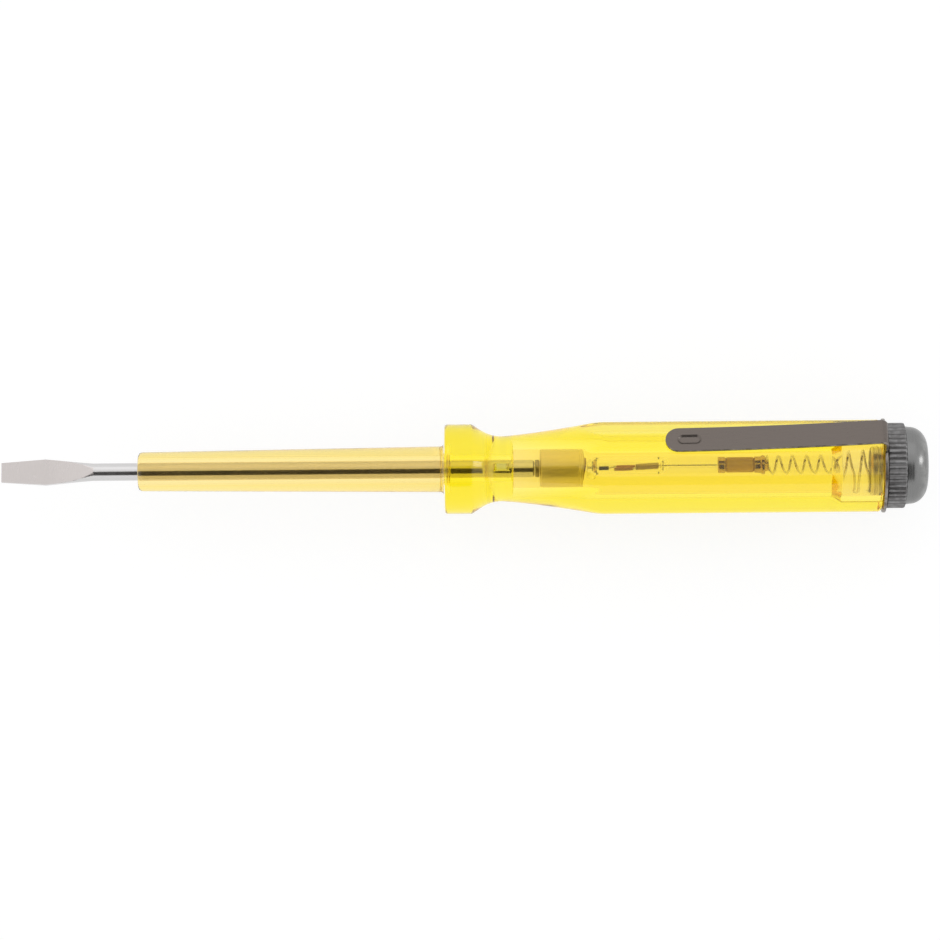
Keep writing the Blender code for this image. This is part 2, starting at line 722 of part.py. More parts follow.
def dimple(name, height):
    """Long flat pip about a point of the arm, used to raise one face and to press in the other."""
    run = DIMPLE_FROM_TIP / CLIP_LENGTH
    behind = (DIMPLE_FROM_TIP + DIMPLE_LENGTH / 2) / CLIP_LENGTH
    bpy.ops.mesh.primitive_uv_sphere_add(segments=16, ring_count=8, radius=1.0)
    pip = bpy.context.object
    pip.name = name
    for home in list(pip.users_collection):
        home.objects.unlink(pip)
    CUTTERS.objects.link(pip)
    pip.scale = (DIMPLE_LENGTH / 2, DIMPLE_WIDTH / 2, DIMPLE_DEPTH + DIMPLE_LIFT)
    pip.rotation_euler.y = -math.atan2(clip_arm_height(behind) - clip_arm_height(run), DIMPLE_LENGTH / 2)
    station = CLIP_RING_FRONT - CLIP_LENGTH + DIMPLE_FROM_TIP
    pip.location = (station, 0.0, clip_arm_height(run) + height + DIMPLE_LIFT)
    return pip


def pocket_clip():
    """The clip, and the tools that shape it, which have to roll with it."""
    arm = flat_outline("clip_arm", [strip_outline(clip_path(), CLIP_THICKNESS)], CLIP_WIDTH, CUTTERS)
    arm.rotation_euler.x = math.radians(90)
    arm = made_mesh(arm)
    radius = CLIP_WIDTH / 2
    tip = CLIP_RING_FRONT + CLIP_THICKNESS / 2 - CLIP_LENGTH
    far = CLIP_RING_FRONT + CLIP_THICKNESS + OVERRUN
    side = radius + OVERRUN
    rounded = arc(tip + radius, 0.0, radius, 270, 90, 12)
    rounded += [(tip + CLIP_WIDTH, side), (far, side), (far, -side), (tip + CLIP_WIDTH, -side)]
    plan = flat_outline("clip_plan", [rounded], 2 * CLIP_ROOT_HEIGHT, CUTTERS)
    plan.location.z = CLIP_ROOT_HEIGHT
    plan = made_mesh(plan)
    inside = dimple("dimple_inside", -CLIP_THICKNESS / 2)
    outside = dimple("dimple_outside", CLIP_THICKNESS / 2)
    boolean(arm, "INTERSECT", plan)
    boolean(arm, "UNION", inside)
    boolean(arm, "DIFFERENCE", outside)
    hole = THREAD_DIAMETER / 2 + TURNING_GAP
    rim = CLIP_RING_DIAMETER / 2
    outline = [(0.0, rim), (CLIP_THICKNESS, rim), (CLIP_THICKNESS, hole), (0.0, hole)]
    clip = turned("pocket_clip", outline, CLIP_RING_FRONT, ROUND_SEGMENTS, hollow=True)
    boolean(clip, "UNION", arm)
    finish(clip, material("dark_plated_steel", DARK_STEEL, 0.35, 1.0))
    return clip, arm, plan, inside, outside


def knurl_outline():
    """A ring of straight V grooves: the crests lie outside the blank, which keeps its own round lands."""
    crest = KNURL_DIAMETER / 2 + KNURL_DEPTH / 2
    root = KNURL_DIAMETER / 2 - KNURL_DEPTH
    outline = []
    for i in range(2 * KNURL_TEETH):
        angle = math.radians(180 * i / KNURL_TEETH)
        radius = root if i % 2 else crest
        outline.append((radius * math.cos(angle), radius * math.sin(angle)))
    return outline


def end_cap():
    stem = THREAD_DIAMETER / 2
    seat = SPRING_REAR_DIAMETER / 2 + SEAT_GAP
    knurl = KNURL_DIAMETER / 2
    socket = DOME_SHANK_DIAMETER / 2 + FIT_GAP
    front = KNURL_FRONT - THREAD_FRONT
    rear = front + KNURL_WIDTH
    floor = rear - DOME_SHANK_LENGTH
    outline = [(SPRING_SEAT_DEPTH, 0.0), (SPRING_SEAT_DEPTH, seat), (0.0, seat)]
    outline += [(0.0, stem - THREAD_CHAMFER), (THREAD_CHAMFER, stem), (front, stem)]
    outline += [(front, knurl - KNURL_CHAMFER), (front + KNURL_CHAMFER, knurl)]
    outline += [(rear - KNURL_CHAMFER, knurl), (rear, knurl - KNURL_CHAMFER)]
    outline += [(rear, socket), (floor, socket), (floor, 0.0)]
    cap = turned("end_cap", outline, THREAD_FRONT, ROUND_SEGMENTS)
    front_face = KNURL_FRONT - SEAT_GAP / 2
    grooves = ring_cutter("knurl_grooves", knurl_outline(), KNURL_DIAMETER, front_face, DOME_FRONT)
    boolean(cap, "DIFFERENCE", grooves)
    finish(cap, material("knurled_cap_metal", CAP_METAL, 0.4, 1.0))
    return cap


def touch_contact():
    """A dome on a short shank: slightly conical side, rounded shoulder and a flat face for the finger."""
    shank = DOME_SHANK_DIAMETER / 2
    base = DOME_DIAMETER / 2
    face = DOME_FACE_DIAMETER / 2
    seat = DOME_SHANK_LENGTH
    outline = [(SEAT_GAP, 0.0), (SEAT_GAP, shank), (seat, shank), (seat, base)]
    steps = 8
    shoulder = base * DOME_SHOULDER_SHARE
    for i in range(steps + 1):
        run = i / steps
        along = seat + DOME_LENGTH * (DOME_SIDE_SHARE + (1 - DOME_SIDE_SHARE) * math.sin(math.pi / 2 * run))
        outline.append((along, face + (shoulder - face) * math.cos(math.pi / 2 * run)))
    outline.append((seat + DOME_LENGTH, 0.0))
    dome = turned("touch_contact", outline, DOME_FRONT - DOME_SHANK_LENGTH, ROUND_SEGMENTS)
    finish(dome, material("smooth_cap_metal", CAP_METAL, 0.25, 1.0))
    return dome


def main():
    blade_shank()
    insulation_sleeve()
    handle_body()
    contact_disc()
    contact_cup()

    stack_axis = joint_empty("stack_axis", BASE_FRONT)
    dark = material("dark_glass_bead", DARK_BEAD, 0.3)
    brown = material("brown_stem", BROWN_RESIN, 0.4)
    front_bead = bead("lamp_front_bead", BEAD_LENGTH, BEAD_DIAMETER, GLASS_FRONT + BEAD_SETBACK, dark)
    rear_stem = bead("lamp_rear_stem", STEM_LENGTH, STEM_DIAMETER, STEM_FRONT, brown)
    carry(stack_axis, lamp_base(), lamp_glass(), front_bead, rear_stem)
    carry(stack_axis, lamp_front_electrode(), lamp_rear_electrode())
    carry(stack_axis, resistor_core(), resistor_front_cap(), resistor_rear_cap())

    spring_axis = joint_empty("spring_axis", SPRING_FRONT)
    carry(spring_axis, contact_spring())
    cap_axis = joint_empty("cap_axis", HANDLE_END)
    carry(cap_axis, end_cap(), touch_contact())
    carry(spring_axis, cap_axis)

    clip_axis = joint_empty("clip_axis", HANDLE_END)
    carry(clip_axis, *pocket_clip())
    clip_axis.rotation_euler.x = math.radians(-CLIP_ROLL_DEG)


main()
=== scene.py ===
# %% [markdown]
# # A voltage tester screwdriver with a clear handle
# The tool lies along X, with its blade tip at the origin and its touch contact at 190 mm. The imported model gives
# each piece its place and its size. This script gives the pieces their fine shapes and their finishes: ground and
# plated steel, clear yellow plastic, a neon lamp, and the spring that is seen through the handle.

# %% Load the frame
from math import copysign, cos, degrees, dist, hypot, pi, radians, sin, sqrt, tan

import bmesh
import bpy
from mathutils import Matrix, Vector


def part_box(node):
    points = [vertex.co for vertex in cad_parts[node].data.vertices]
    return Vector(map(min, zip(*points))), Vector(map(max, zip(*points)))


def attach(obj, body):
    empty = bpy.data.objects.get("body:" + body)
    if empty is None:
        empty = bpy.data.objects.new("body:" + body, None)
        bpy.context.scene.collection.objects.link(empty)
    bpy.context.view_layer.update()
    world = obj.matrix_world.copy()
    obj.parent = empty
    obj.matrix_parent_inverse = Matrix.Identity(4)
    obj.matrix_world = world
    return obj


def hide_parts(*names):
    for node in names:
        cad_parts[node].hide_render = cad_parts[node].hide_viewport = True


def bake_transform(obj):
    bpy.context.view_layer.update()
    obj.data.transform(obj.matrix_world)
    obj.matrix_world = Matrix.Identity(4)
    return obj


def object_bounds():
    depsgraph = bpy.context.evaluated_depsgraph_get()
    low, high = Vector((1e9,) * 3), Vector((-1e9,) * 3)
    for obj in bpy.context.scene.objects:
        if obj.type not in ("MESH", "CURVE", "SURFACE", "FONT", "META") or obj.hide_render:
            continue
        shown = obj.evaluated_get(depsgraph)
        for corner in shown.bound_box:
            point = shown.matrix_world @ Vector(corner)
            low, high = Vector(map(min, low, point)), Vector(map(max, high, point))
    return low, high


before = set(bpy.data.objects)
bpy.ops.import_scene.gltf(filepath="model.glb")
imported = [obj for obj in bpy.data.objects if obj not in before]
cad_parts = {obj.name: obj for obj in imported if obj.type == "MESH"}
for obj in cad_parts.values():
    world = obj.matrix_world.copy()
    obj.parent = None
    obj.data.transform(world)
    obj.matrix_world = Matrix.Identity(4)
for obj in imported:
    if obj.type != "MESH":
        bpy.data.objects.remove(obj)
cad_low, cad_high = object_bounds()
MM = 0.001


def mm(*sizes):
    """Sizes given in millimetres, as metres."""
    return [size * MM for size in sizes]


def in_mm(*sizes):
    return [round(size / MM, 2) for size in sizes]


def stands_for(obj, body, node, *finishes):
    """The piece takes its finishes, rides on a body and hides the CAD node it stands for."""
    for finish in finishes:
        obj.data.materials.append(finish)
    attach(obj, body)
    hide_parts(node)
    return obj


print("nodes in the frame:", len(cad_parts))


# %% [markdown]
# Most pieces are turned on a lathe or moulded round. Such a piece is a profile of stations along X and radii, with
# its corners rounded, swept round the X axis. Blender's Screw modifier could do this, but a small function that
# writes the rings straight into a mesh leaves every object at the origin, with its place in its vertices.

# %% Profiles
NEARLY_STRAIGHT, SHARE_OF_SIDE = radians(175), 0.49


def rounded(corners, radius, steps=5):
    """Rounds the inner corners of an open outline, each by the radius or by as much as its sides allow."""
    points = [corners[0]]
    for before, corner, after in zip(corners, corners[1:], corners[2:]):
        a = Vector(before) - Vector(corner)
        b = Vector(after) - Vector(corner)
        angle = a.angle(b)
        if angle > NEARLY_STRAIGHT:
            points.append(corner)
            continue
        reach = min(radius / tan(angle / 2), SHARE_OF_SIDE * a.length, SHARE_OF_SIDE * b.length)
        start = Vector(corner) + a.normalized() * reach
        end = Vector(corner) + b.normalized() * reach
        for i in range(steps + 1):
            t = i / steps
            points.append(tuple(start * (1 - t) ** 2 + Vector(corner) * 2 * t * (1 - t) + end * t**2))
    points.append(corners[-1])
    return points


def between(start, end, count):
    """Evenly spaced numbers from start to end, without the start itself."""
    return [start + (end - start) * i / count for i in range(1, count + 1)]


def span(node):
    """Where a CAD node starts and ends along X."""
    low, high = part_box(node)
    return low.x, high.x


for node in ["blade_shank", "handle_body", "lamp_glass", "contact_spring", "end_cap"]:
    print(node, in_mm(*span(node)), "mm")


# %% Turned pieces
SMOOTH_ANGLE, NO_RADIUS = radians(35), 1e-7


def add_object(name, data):
    obj = bpy.data.objects.new(name, data)
    bpy.context.scene.collection.objects.link(obj)
    return obj


def shade(mesh, angle):
    """Smooth shading, with the edges that turn more than the angle kept sharp."""
    mesh.shade_smooth()
    mesh.set_sharp_from_angle(angle=angle)


def as_object(name, shape, smooth_angle=SMOOTH_ANGLE):
    """A mesh object from a bmesh, with its faces turned outwards."""
    bmesh.ops.recalc_face_normals(shape, faces=shape.faces)
    mesh = bpy.data.meshes.new(name)
    shape.to_mesh(mesh)
    shape.free()
    shade(mesh, smooth_angle)
    return add_object(name, mesh)


def skin(shape, rings):
    """Joins rings of vertices one to the next; a ring of one vertex is a pole."""
    for near, far in zip(rings, rings[1:]):
        count = max(len(near), len(far))
        for i in range(count):
            j = (i + 1) % count
            corners = [near[i % len(near)], near[j % len(near)], far[j % len(far)], far[i % len(far)]]
            corners = list(dict.fromkeys(corners))
            if len(corners) > 2:
                shape.faces.new(corners)


def round_ring(shape, x, radius, count):
    """A ring of vertices about the X axis, or a single one where there is no radius."""
    angles = [2 * pi * i / count for i in range(count if radius > NO_RADIUS else 1)]
    return [shape.verts.new((x, radius * sin(a), radius * cos(a))) for a in angles]


def turned(name, outline, segments=96, hollow=False):
    """A piece turned about X from its outline of (station, radius); a hollow one's outline closes on itself."""
    shape = bmesh.new()
    rings = [round_ring(shape, x, radius, segments) for x, radius in outline]
    skin(shape, rings + rings[:1] if hollow else rings)
    return as_object(name, shape)


# %% [markdown]
# Finishes and Geometry Nodes are both trees of nodes, built here in code. A few helpers keep that short: one makes a
# group with named sockets, one adds a node and fills its inputs with links or plain values, and three do sums.

# %% Tools for node trees
def new_tree(name, kind, inputs, outputs):
    """A node group with its named sockets; gives the group, what it is given and what it puts out."""
    tree = bpy.data.node_groups.new(name, kind + "NodeTree")
    for way, sockets in (("INPUT", inputs), ("OUTPUT", outputs)):
        for label, value in sockets.items():
            tree.interface.new_socket(label, in_out=way, socket_type="NodeSocket" + value)
    return tree, tree.nodes.new("NodeGroupInput").outputs, tree.nodes.new("NodeGroupOutput").inputs


def fill(tree, socket, value):
    """Links a socket or sets a plain value."""
    if isinstance(value, bpy.types.NodeSocket):
        tree.links.new(value, socket)
    else:
        socket.default_value = value


def add(tree, kind, inputs, gives=0, **settings):
    """Adds a node, sets it up, fills its inputs and returns one of its outputs."""
    node = tree.nodes.new(kind)
    for label, value in settings.items():
        setattr(node, label, value)
    for label, value in inputs.items():
        fill(tree, node.inputs[label], value)
    return node.outputs[gives]


def calc(tree, operation, *terms):
    """One Math node for two terms, or a chain of them for more; a term is a socket or a number."""
    result = terms[0]
    for term in terms[1:] or (0.0,):
        result = add(tree, "ShaderNodeMath", {0: result, 1: term}, operation=operation)
    return result


def ramp(tree, value, from_min, from_max, to_min=0.0, to_max=1.0, smooth=False):
    """Maps one range of a value on to another, and holds it at the ends."""
    inputs = {"Value": value, "From Min": from_min, "From Max": from_max, "To Min": to_min, "To Max": to_max}
    kind = "SMOOTHSTEP" if smooth else "LINEAR"
    return add(tree, "ShaderNodeMapRange", inputs, "Result", interpolation_type=kind)


def vector(tree, operation, a, b=(0.0, 0.0, 0.0)):
    """A Vector Math node; for SCALE, b is the number to scale by."""
    second = "Scale" if operation == "SCALE" else 1
    return add(tree, "ShaderNodeVectorMath", {0: a, second: b}, "Vector", operation=operation)


print("node tools are ready")


# %% [markdown]
# A finish on a real tool is never even. Three shader groups hold what the finishes share: fine streaks, as a wheel
# or a lathe leaves them, broad soft smudges, as handling leaves them, and wear on the edges. Each gives numbers that
# the materials place on roughness, on colour and on the height of a bump. They read Object coordinates, so that they
# stay on the piece, and the wear also reads an attribute that a piece's mesh carries along its edges.

# %% Streaks, smudges and wear as shader groups
def stretched_noise(group, given, detail):
    """Noise on Object coordinates that the group's Stretch and Scale inputs set."""
    place = vector(group, "MULTIPLY", add(group, "ShaderNodeTexCoord", {}, "Object"), given["Stretch"])
    inputs = {"Vector": place, "Scale": given["Scale"], "Detail": detail}
    return add(group, "ShaderNodeTexNoise", inputs, "Fac")


def marks_group(name, detail, middle, smooth):
    """Marks whose Value runs from Low to High over the middle of the noise; Height is the bare noise."""
    inputs = {"Stretch": "Vector", "Scale": "Float", "Low": "Float", "High": "Float"}
    group, given, out = new_tree(name, "Shader", inputs, {"Value": "Float", "Height": "Float"})
    noise = stretched_noise(group, given, detail)
    fill(group, out["Value"], ramp(group, noise, *middle, given["Low"], given["High"], smooth))
    fill(group, out["Height"], noise)
    return group


def wear_group(detail, middle):
    """Where the piece's wear attribute is high and the noise lets it through, the plating is rubbed."""
    inputs = {"Stretch": "Vector", "Scale": "Float", "Amount": "Float"}
    group, given, out = new_tree("edge_wear", "Shader", inputs, {"Mask": "Float"})
    edge = add(group, "ShaderNodeAttribute", {}, "Fac", attribute_name="wear")
    broken = ramp(group, stretched_noise(group, given, detail), *middle)
    fill(group, out["Mask"], calc(group, "MULTIPLY", edge, broken, given["Amount"]))
    return group


STREAKS = marks_group("streaks", 3.0, (0.3, 0.7), False)
SMUDGES = marks_group("smudges", 1.5, (0.35, 0.75), True)
EDGE_WEAR = wear_group(4.0, (0.38, 0.62))
print("shader groups:", [group.name for group in bpy.data.node_groups])


# %% [markdown]
# Every finish is one Principled shader. The metals take streaks on roughness and bump, and a little of them on
# colour. The plain values stay on the shader's own sockets. A mark's size is given in millimetres, and the stretch
# says how much shorter it is along each axis: a large number across a piece makes long marks along it.

# %% Tools for finishes
def new_material(name, colour, roughness, metallic=0.0):
    material = bpy.data.materials.new(name)
    material.use_nodes = True
    tree = material.node_tree
    shader = tree.nodes["Principled BSDF"].inputs
    for label, value in {"Base Color": (*colour, 1.0), "Roughness": roughness, "Metallic": metallic}.items():
        fill(tree, shader[label], value)
    return material, tree, shader


def use_group(tree, group, mark, stretch, **values):
    """Places a shader group in a material, its marks being about the given size."""
    inputs = {"Scale": 1 / mark, "Stretch": stretch, **values}
    return add(tree, "ShaderNodeGroup", inputs, node_tree=group).node.outputs


def marked(name, colour, roughness, group, mark, stretch, metallic=0.0):
    """A material whose roughness runs between two values with the marks of a group; also gives their height."""
    material, tree, shader = new_material(name, colour, roughness[0], metallic)
    marks = use_group(tree, group, mark, stretch, Low=roughness[0], High=roughness[1])
    fill(tree, shader["Roughness"], marks["Value"])
    return material, tree, shader, marks["Height"]


def add_bump(tree, shader, height, depth):
    fill(tree, shader["Normal"], add(tree, "ShaderNodeBump", {"Distance": depth, "Height": height}, "Normal"))


def mixed_colour(tree, shader, first, second, factor):
    """Sends a mix of two colours to the shader; the first may be a socket."""
    inputs = {"A": (*first, 1.0) if isinstance(first, tuple) else first, "B": (*second, 1.0), "Factor": factor}
    mix = add(tree, "ShaderNodeMix", inputs, "Result", data_type="RGBA")
    fill(tree, shader["Base Color"], mix)
    return mix


# %% Metals
EVEN, ALONG, AROUND, ACROSS = (1.0, 1.0, 1.0), (1.0, 9.0, 9.0), (9.0, 1.0, 1.0), (9.0, 1.0, 9.0)
WEAR_MARK = 1.3 * MM


def metal(name, colour, roughness, mark, stretch, depth, tint, worn=None, wear=1.0):
    """A plated or ground metal: streaks on roughness, height and colour, and worn edges where it has them."""
    material, tree, shader, height = marked(name, colour, roughness, STREAKS, mark, stretch, 1.0)
    add_bump(tree, shader, height, depth)
    dark, light = [tuple(c * level for c in colour) for level in (1 - tint, 1 + tint)]
    streaked = mixed_colour(tree, shader, dark, light, height)
    if worn:
        rubbed = use_group(tree, EDGE_WEAR, WEAR_MARK, EVEN, Amount=wear)
        mixed_colour(tree, shader, streaked, worn, rubbed["Mask"])
    return material


GROUND_STEEL = metal("ground_steel", (0.67, 0.625, 0.61), (0.26, 0.40), 2.0 * MM, ACROSS, 0.004 * MM, 0.08)
PLATED_STEEL = metal("plated_steel", (0.67, 0.66, 0.66), (0.15, 0.22), 6.0 * MM, ALONG, 0.0015 * MM, 0.05)
DARK_PLATE = metal("dark_plated_steel", (0.165, 0.142, 0.128), (0.26, 0.40), 4.0 * MM, ALONG, 0.003 * MM, 0.12,
                   (0.42, 0.39, 0.36), 0.6)
KNURLED = metal("knurled_cap_metal", (0.16, 0.155, 0.155), (0.34, 0.46), 2.0 * MM, ALONG, 0.003 * MM, 0.15,
                (0.32, 0.32, 0.32), 0.8)
THREAD_METAL = metal("thread_metal", (0.82, 0.78, 0.66), (0.30, 0.42), 1.0 * MM, AROUND, 0.002 * MM, 0.12)
TURNED_METAL = metal("turned_cap_metal", (0.23, 0.23, 0.228), (0.24, 0.34), 3.0 * MM, AROUND, 0.002 * MM, 0.08,
                     (0.40, 0.40, 0.39), 0.5)
BRASS = metal("drawn_brass", (0.97, 0.87, 0.72), (0.46, 0.58), 3.0 * MM, ALONG, 0.002 * MM, 0.12)
TARNISHED_BRASS = metal("tarnished_brass", (0.72, 0.56, 0.32), (0.28, 0.42), 1.5 * MM, EVEN, 0.002 * MM, 0.25)
BRONZE = metal("bronze_cap", (0.58, 0.44, 0.27), (0.20, 0.32), 2.0 * MM, EVEN, 0.002 * MM, 0.15)
DISC_STEEL = metal("oxidised_disc_steel", (0.38, 0.33, 0.25), (0.30, 0.45), 1.5 * MM, EVEN, 0.002 * MM, 0.2)
SPRING_STEEL = metal("spring_steel", (0.82, 0.80, 0.78), (0.22, 0.34), 1.5 * MM, EVEN, 0.001 * MM, 0.15)
LEAD_METAL = metal("tinned_lead", (0.80, 0.78, 0.74), (0.25, 0.40), 1.0 * MM, EVEN, 0.002 * MM, 0.15)
print("metals:", len(bpy.data.materials))


# %% [markdown]
# The handle and the sleeve are clear plastic that has its colour all through. A yellow Base Color alone would tint
# only the surfaces. A plain absorption inside deepens with the thickness that the light crosses, as in the real one:
# pale at the thin edges and deep where the wall is thick. A light tint on the surfaces helps where light passes many
# walls. The sleeve's plastic is a little more orange.

# %% Clear plastics and glass
SMUDGE_MARK, SMUDGE_STRETCH, RIPPLE = 9.0 * MM, (1.0, 2.0, 2.0), 0.02 * MM
PLASTIC_IOR, GLASS_IOR = 1.49, 1.5


def clear(name, colour, roughness, refraction, absorbed=None, density=0.0):
    """Clear plastic or glass with smudges on its gloss; the plastic has a ripple in its surface and colour inside."""
    material, tree, shader, height = marked(name, colour, roughness, SMUDGES, SMUDGE_MARK, SMUDGE_STRETCH)
    shader["Transmission Weight"].default_value = 1.0
    shader["IOR"].default_value = refraction
    if absorbed:
        add_bump(tree, shader, height, RIPPLE)
        inputs = {"Color": (*absorbed, 1.0), "Density": density}
        inside = add(tree, "ShaderNodeVolumeAbsorption", inputs, "Volume")
        fill(tree, tree.nodes["Material Output"].inputs["Volume"], inside)
    return material


HANDLE_PLASTIC = clear("clear_yellow_plastic", (0.995, 0.885, 0.80), (0.04, 0.08), PLASTIC_IOR,
                       (1.0, 0.98, 0.02), 225.0)
SLEEVE_PLASTIC = clear("amber_sleeve_plastic", (0.98, 0.865, 0.63), (0.05, 0.10), PLASTIC_IOR,
                       (0.99, 0.90, 0.10), 136.0)
LAMP_GLASS = clear("lamp_clear_glass", (1.0, 1.0, 1.0), (0.0, 0.02), GLASS_IOR)
print("clear materials are ready")


# %% [markdown]
# The small parts of the lamp and the resistor are painted or fired, not metal. Each has fine grain in its colour, so
# that it doesn't look like a flat swatch when the camera comes close.

# %% Painted and fired finishes
GLAZE_GLOSS = 0.25


def painted(name, colour, second, roughness, mark, depth):
    material, tree, shader, height = marked(name, colour, roughness, STREAKS, mark, EVEN)
    shader["Specular IOR Level"].default_value = GLAZE_GLOSS
    mixed_colour(tree, shader, colour, second, height)
    add_bump(tree, shader, height, depth)
    return material


BROWN_GLAZE = painted("brown_glaze", (0.86, 0.56, 0.14), (0.95, 0.68, 0.22), (0.34, 0.48), 1.2 * MM, 0.01 * MM)
STEM_GLAZE = painted("stem_glaze", (0.90, 0.68, 0.22), (0.97, 0.78, 0.30), (0.25, 0.40), 0.8 * MM, 0.01 * MM)
ELECTRODE_COAT = painted("electrode_coat", (0.96, 0.50, 0.12), (1.0, 0.64, 0.20), (0.55, 0.75), 0.3 * MM, 0.01 * MM)
DARK_GLASS = painted("dark_bead_glass", (0.12, 0.11, 0.04), (0.22, 0.20, 0.09), (0.15, 0.25), 0.6 * MM, 0.005 * MM)
print("finishes in all:", len(bpy.data.materials))


# %% [markdown]
# The blade and its shank are one rod. Its front is forged wide and ground flat on both faces, and two small ears
# pressed out of it in the neck keep it from turning. A section runs from a rectangle at the tip to a circle at the
# shank, and each section is cut off at the height that the grinding wheel left.

# %% Blade and shank
TIP_WIDTH, TIP_THICKNESS = mm(4.0, 0.7)
FLARE_AT, FLARE_WIDTH, FLARE_THICKNESS = mm(9.2, 5.25, 1.5)
BLADE_LENGTH, SHANK_RADIUS = mm(19.0, 1.8)
EAR_AT, EAR_SPAN, EAR_LENGTH, EAR_THICKNESS = mm(102.6, 5.6, 4.5, 1.2)
ROUND, FLARE_SQUARENESS, TIP_SQUARENESS = 2.0, 5.0, 8.0
NARROWING_POWER, THICKENING_POWER = 1.15, 1.5
SHANK_CHAMFER, ROD_POINTS = 0.3 * MM, 96
ROD_ANGLES = [2 * pi * (i + 0.5) / ROD_POINTS for i in range(ROD_POINTS)]


def blade_section(x):
    """The rod's outline at one station of the forged and ground part."""
    if x < FLARE_AT:
        half_width = TIP_WIDTH / 2 + (FLARE_WIDTH - TIP_WIDTH) / 2 * x / FLARE_AT
        half_thickness = TIP_THICKNESS / 2 + (FLARE_THICKNESS - TIP_THICKNESS) / 2 * x / FLARE_AT
        squareness = TIP_SQUARENESS
    else:
        run = min(1.0, (x - FLARE_AT) / (BLADE_LENGTH - FLARE_AT))
        ease = (1 - run) ** NARROWING_POWER
        half_width = SHANK_RADIUS + (FLARE_WIDTH / 2 - SHANK_RADIUS) * ease
        half_thickness = FLARE_THICKNESS / 2 + (SHANK_RADIUS - FLARE_THICKNESS / 2) * run**THICKENING_POWER
        squareness = ROUND + (FLARE_SQUARENESS - ROUND) * ease
    points = []
    for angle in ROD_ANGLES:
        c, s = cos(angle), sin(angle)
        y = half_width * copysign(abs(c) ** (2 / squareness), c)
        z = SHANK_RADIUS * copysign(abs(s) ** (2 / squareness), s)
        points.append((x, y, max(-half_thickness, min(half_thickness, z))))
    return points


def shank_section(x, radius):
    """The round rod, or where its ears are, the rod joined with a flat plate."""
    points = []
    ear = max(0.0, 1 - max(0.0, abs(x - EAR_AT) / (EAR_LENGTH / 2) - 0.5) * 2)
    half_span = SHANK_RADIUS * 0.5 + (EAR_SPAN / 2 - SHANK_RADIUS * 0.5) * ear
    for angle in ROD_ANGLES:
        c, s = abs(cos(angle)), abs(sin(angle))
        plate = min(half_span / max(s, 1e-6), EAR_THICKNESS / 2 / max(c, 1e-6)) if ear > 0 else 0.0
        reach = max(radius, plate)
        points.append((x, reach * cos(angle), reach * sin(angle)))
    return points


# %% Blade and shank, joined
TIP_EASED_WIDTH, TIP_EASED_THICKNESS, SECTIONS, SQUARE_ON = 0.97, 0.9, 55, 0.9
TIP_EASING, SECTION_STEP, MID_SHANK = mm(0.05, 0.35, 60)


def make_blade():
    end = span("blade_shank")[1]
    shape = bmesh.new()
    sections = [[(0.0, y * TIP_EASED_WIDTH, z * TIP_EASED_THICKNESS) for _, y, z in blade_section(0.0)]]
    sections += [blade_section(TIP_EASING + SECTION_STEP * i) for i in range(SECTIONS)]
    shank = [BLADE_LENGTH, MID_SHANK] + [EAR_AT + EAR_LENGTH / 2 * t / 8 for t in range(-8, 9)] + [end - SHANK_CHAMFER]
    sections += [shank_section(x, SHANK_RADIUS) for x in shank]
    sections.append(shank_section(end, SHANK_RADIUS - SHANK_CHAMFER))
    rings = [[shape.verts.new(p) for p in section] for section in sections]
    skin(shape, rings)
    shape.faces.new(rings[0])
    shape.faces.new(rings[-1])
    obj = as_object("blade_and_shank", shape, radians(20))
    stands_for(obj, "handle", "blade_shank", PLATED_STEEL, GROUND_STEEL)
    for face in obj.data.polygons:
        ground = abs(face.normal.z) > SQUARE_ON or face.normal.x < -SQUARE_ON
        face.material_index = int(face.center.x < BLADE_LENGTH and ground)
    return obj


blade = make_blade()
print("blade_and_shank:", len(blade.data.polygons), "faces")


# %% [markdown]
# The sleeve over the shank is a clear tube that grows towards the handle. It is turned, with a round nose. The
# hole keeps a thin skin of air round the shank, which is what makes the steel gleam through the plastic. The sleeve's
# root is bonded into the collar, so no edge of it shows there: only a short step stands in the collar here, because
# an air gap all the way would draw an orange block that the bond hides.

# %% Insulating sleeve
ROOT_STEP, ROOT_RADIUS, ROOT_LENGTH, SHANK_HOLE = mm(1.0, 3.3, 5.0, 1.9)
NOSE_RADIUS, SLEEVE_RADIUS, SLEEVE_LIP, LIP_FILLET = mm(4.0, 4.7, 5.3, 0.7)


def make_sleeve():
    front, rear = span("insulation_sleeve")
    face = rear - ROOT_LENGTH
    lip = face - LIP_FILLET
    outline = rounded([(front, SHANK_HOLE), (front, NOSE_RADIUS), (lip, SLEEVE_RADIUS)], 1.2 * MM, 8)
    for i in range(1, 7):
        angle = radians(15 * i)
        outline.append((lip + LIP_FILLET * sin(angle), SLEEVE_RADIUS + LIP_FILLET * (1 - cos(angle))))
    root = [(face, SLEEVE_LIP), (face, ROOT_RADIUS), (face + ROOT_STEP, ROOT_RADIUS), (face + ROOT_STEP, SHANK_HOLE)]
    obj = turned("sleeve", outline + rounded(root, 0.1 * MM, 2), 96, hollow=True)
    return stands_for(obj, "handle", "insulation_sleeve", SLEEVE_PLASTIC)


sleeve = make_sleeve()
print("sleeve:", len(sleeve.data.polygons), "faces")


# %% [markdown]
# The handle is a round moulding whose grip is six-sided, with broad soft corners. Boolean cuts would leave long thin
# triangles that show as streaks in a clear solid. So the outside is a grid of points: at each station and angle it
# takes the smaller of the round profile and the rounded hexagon, with a soft blend where they cross.

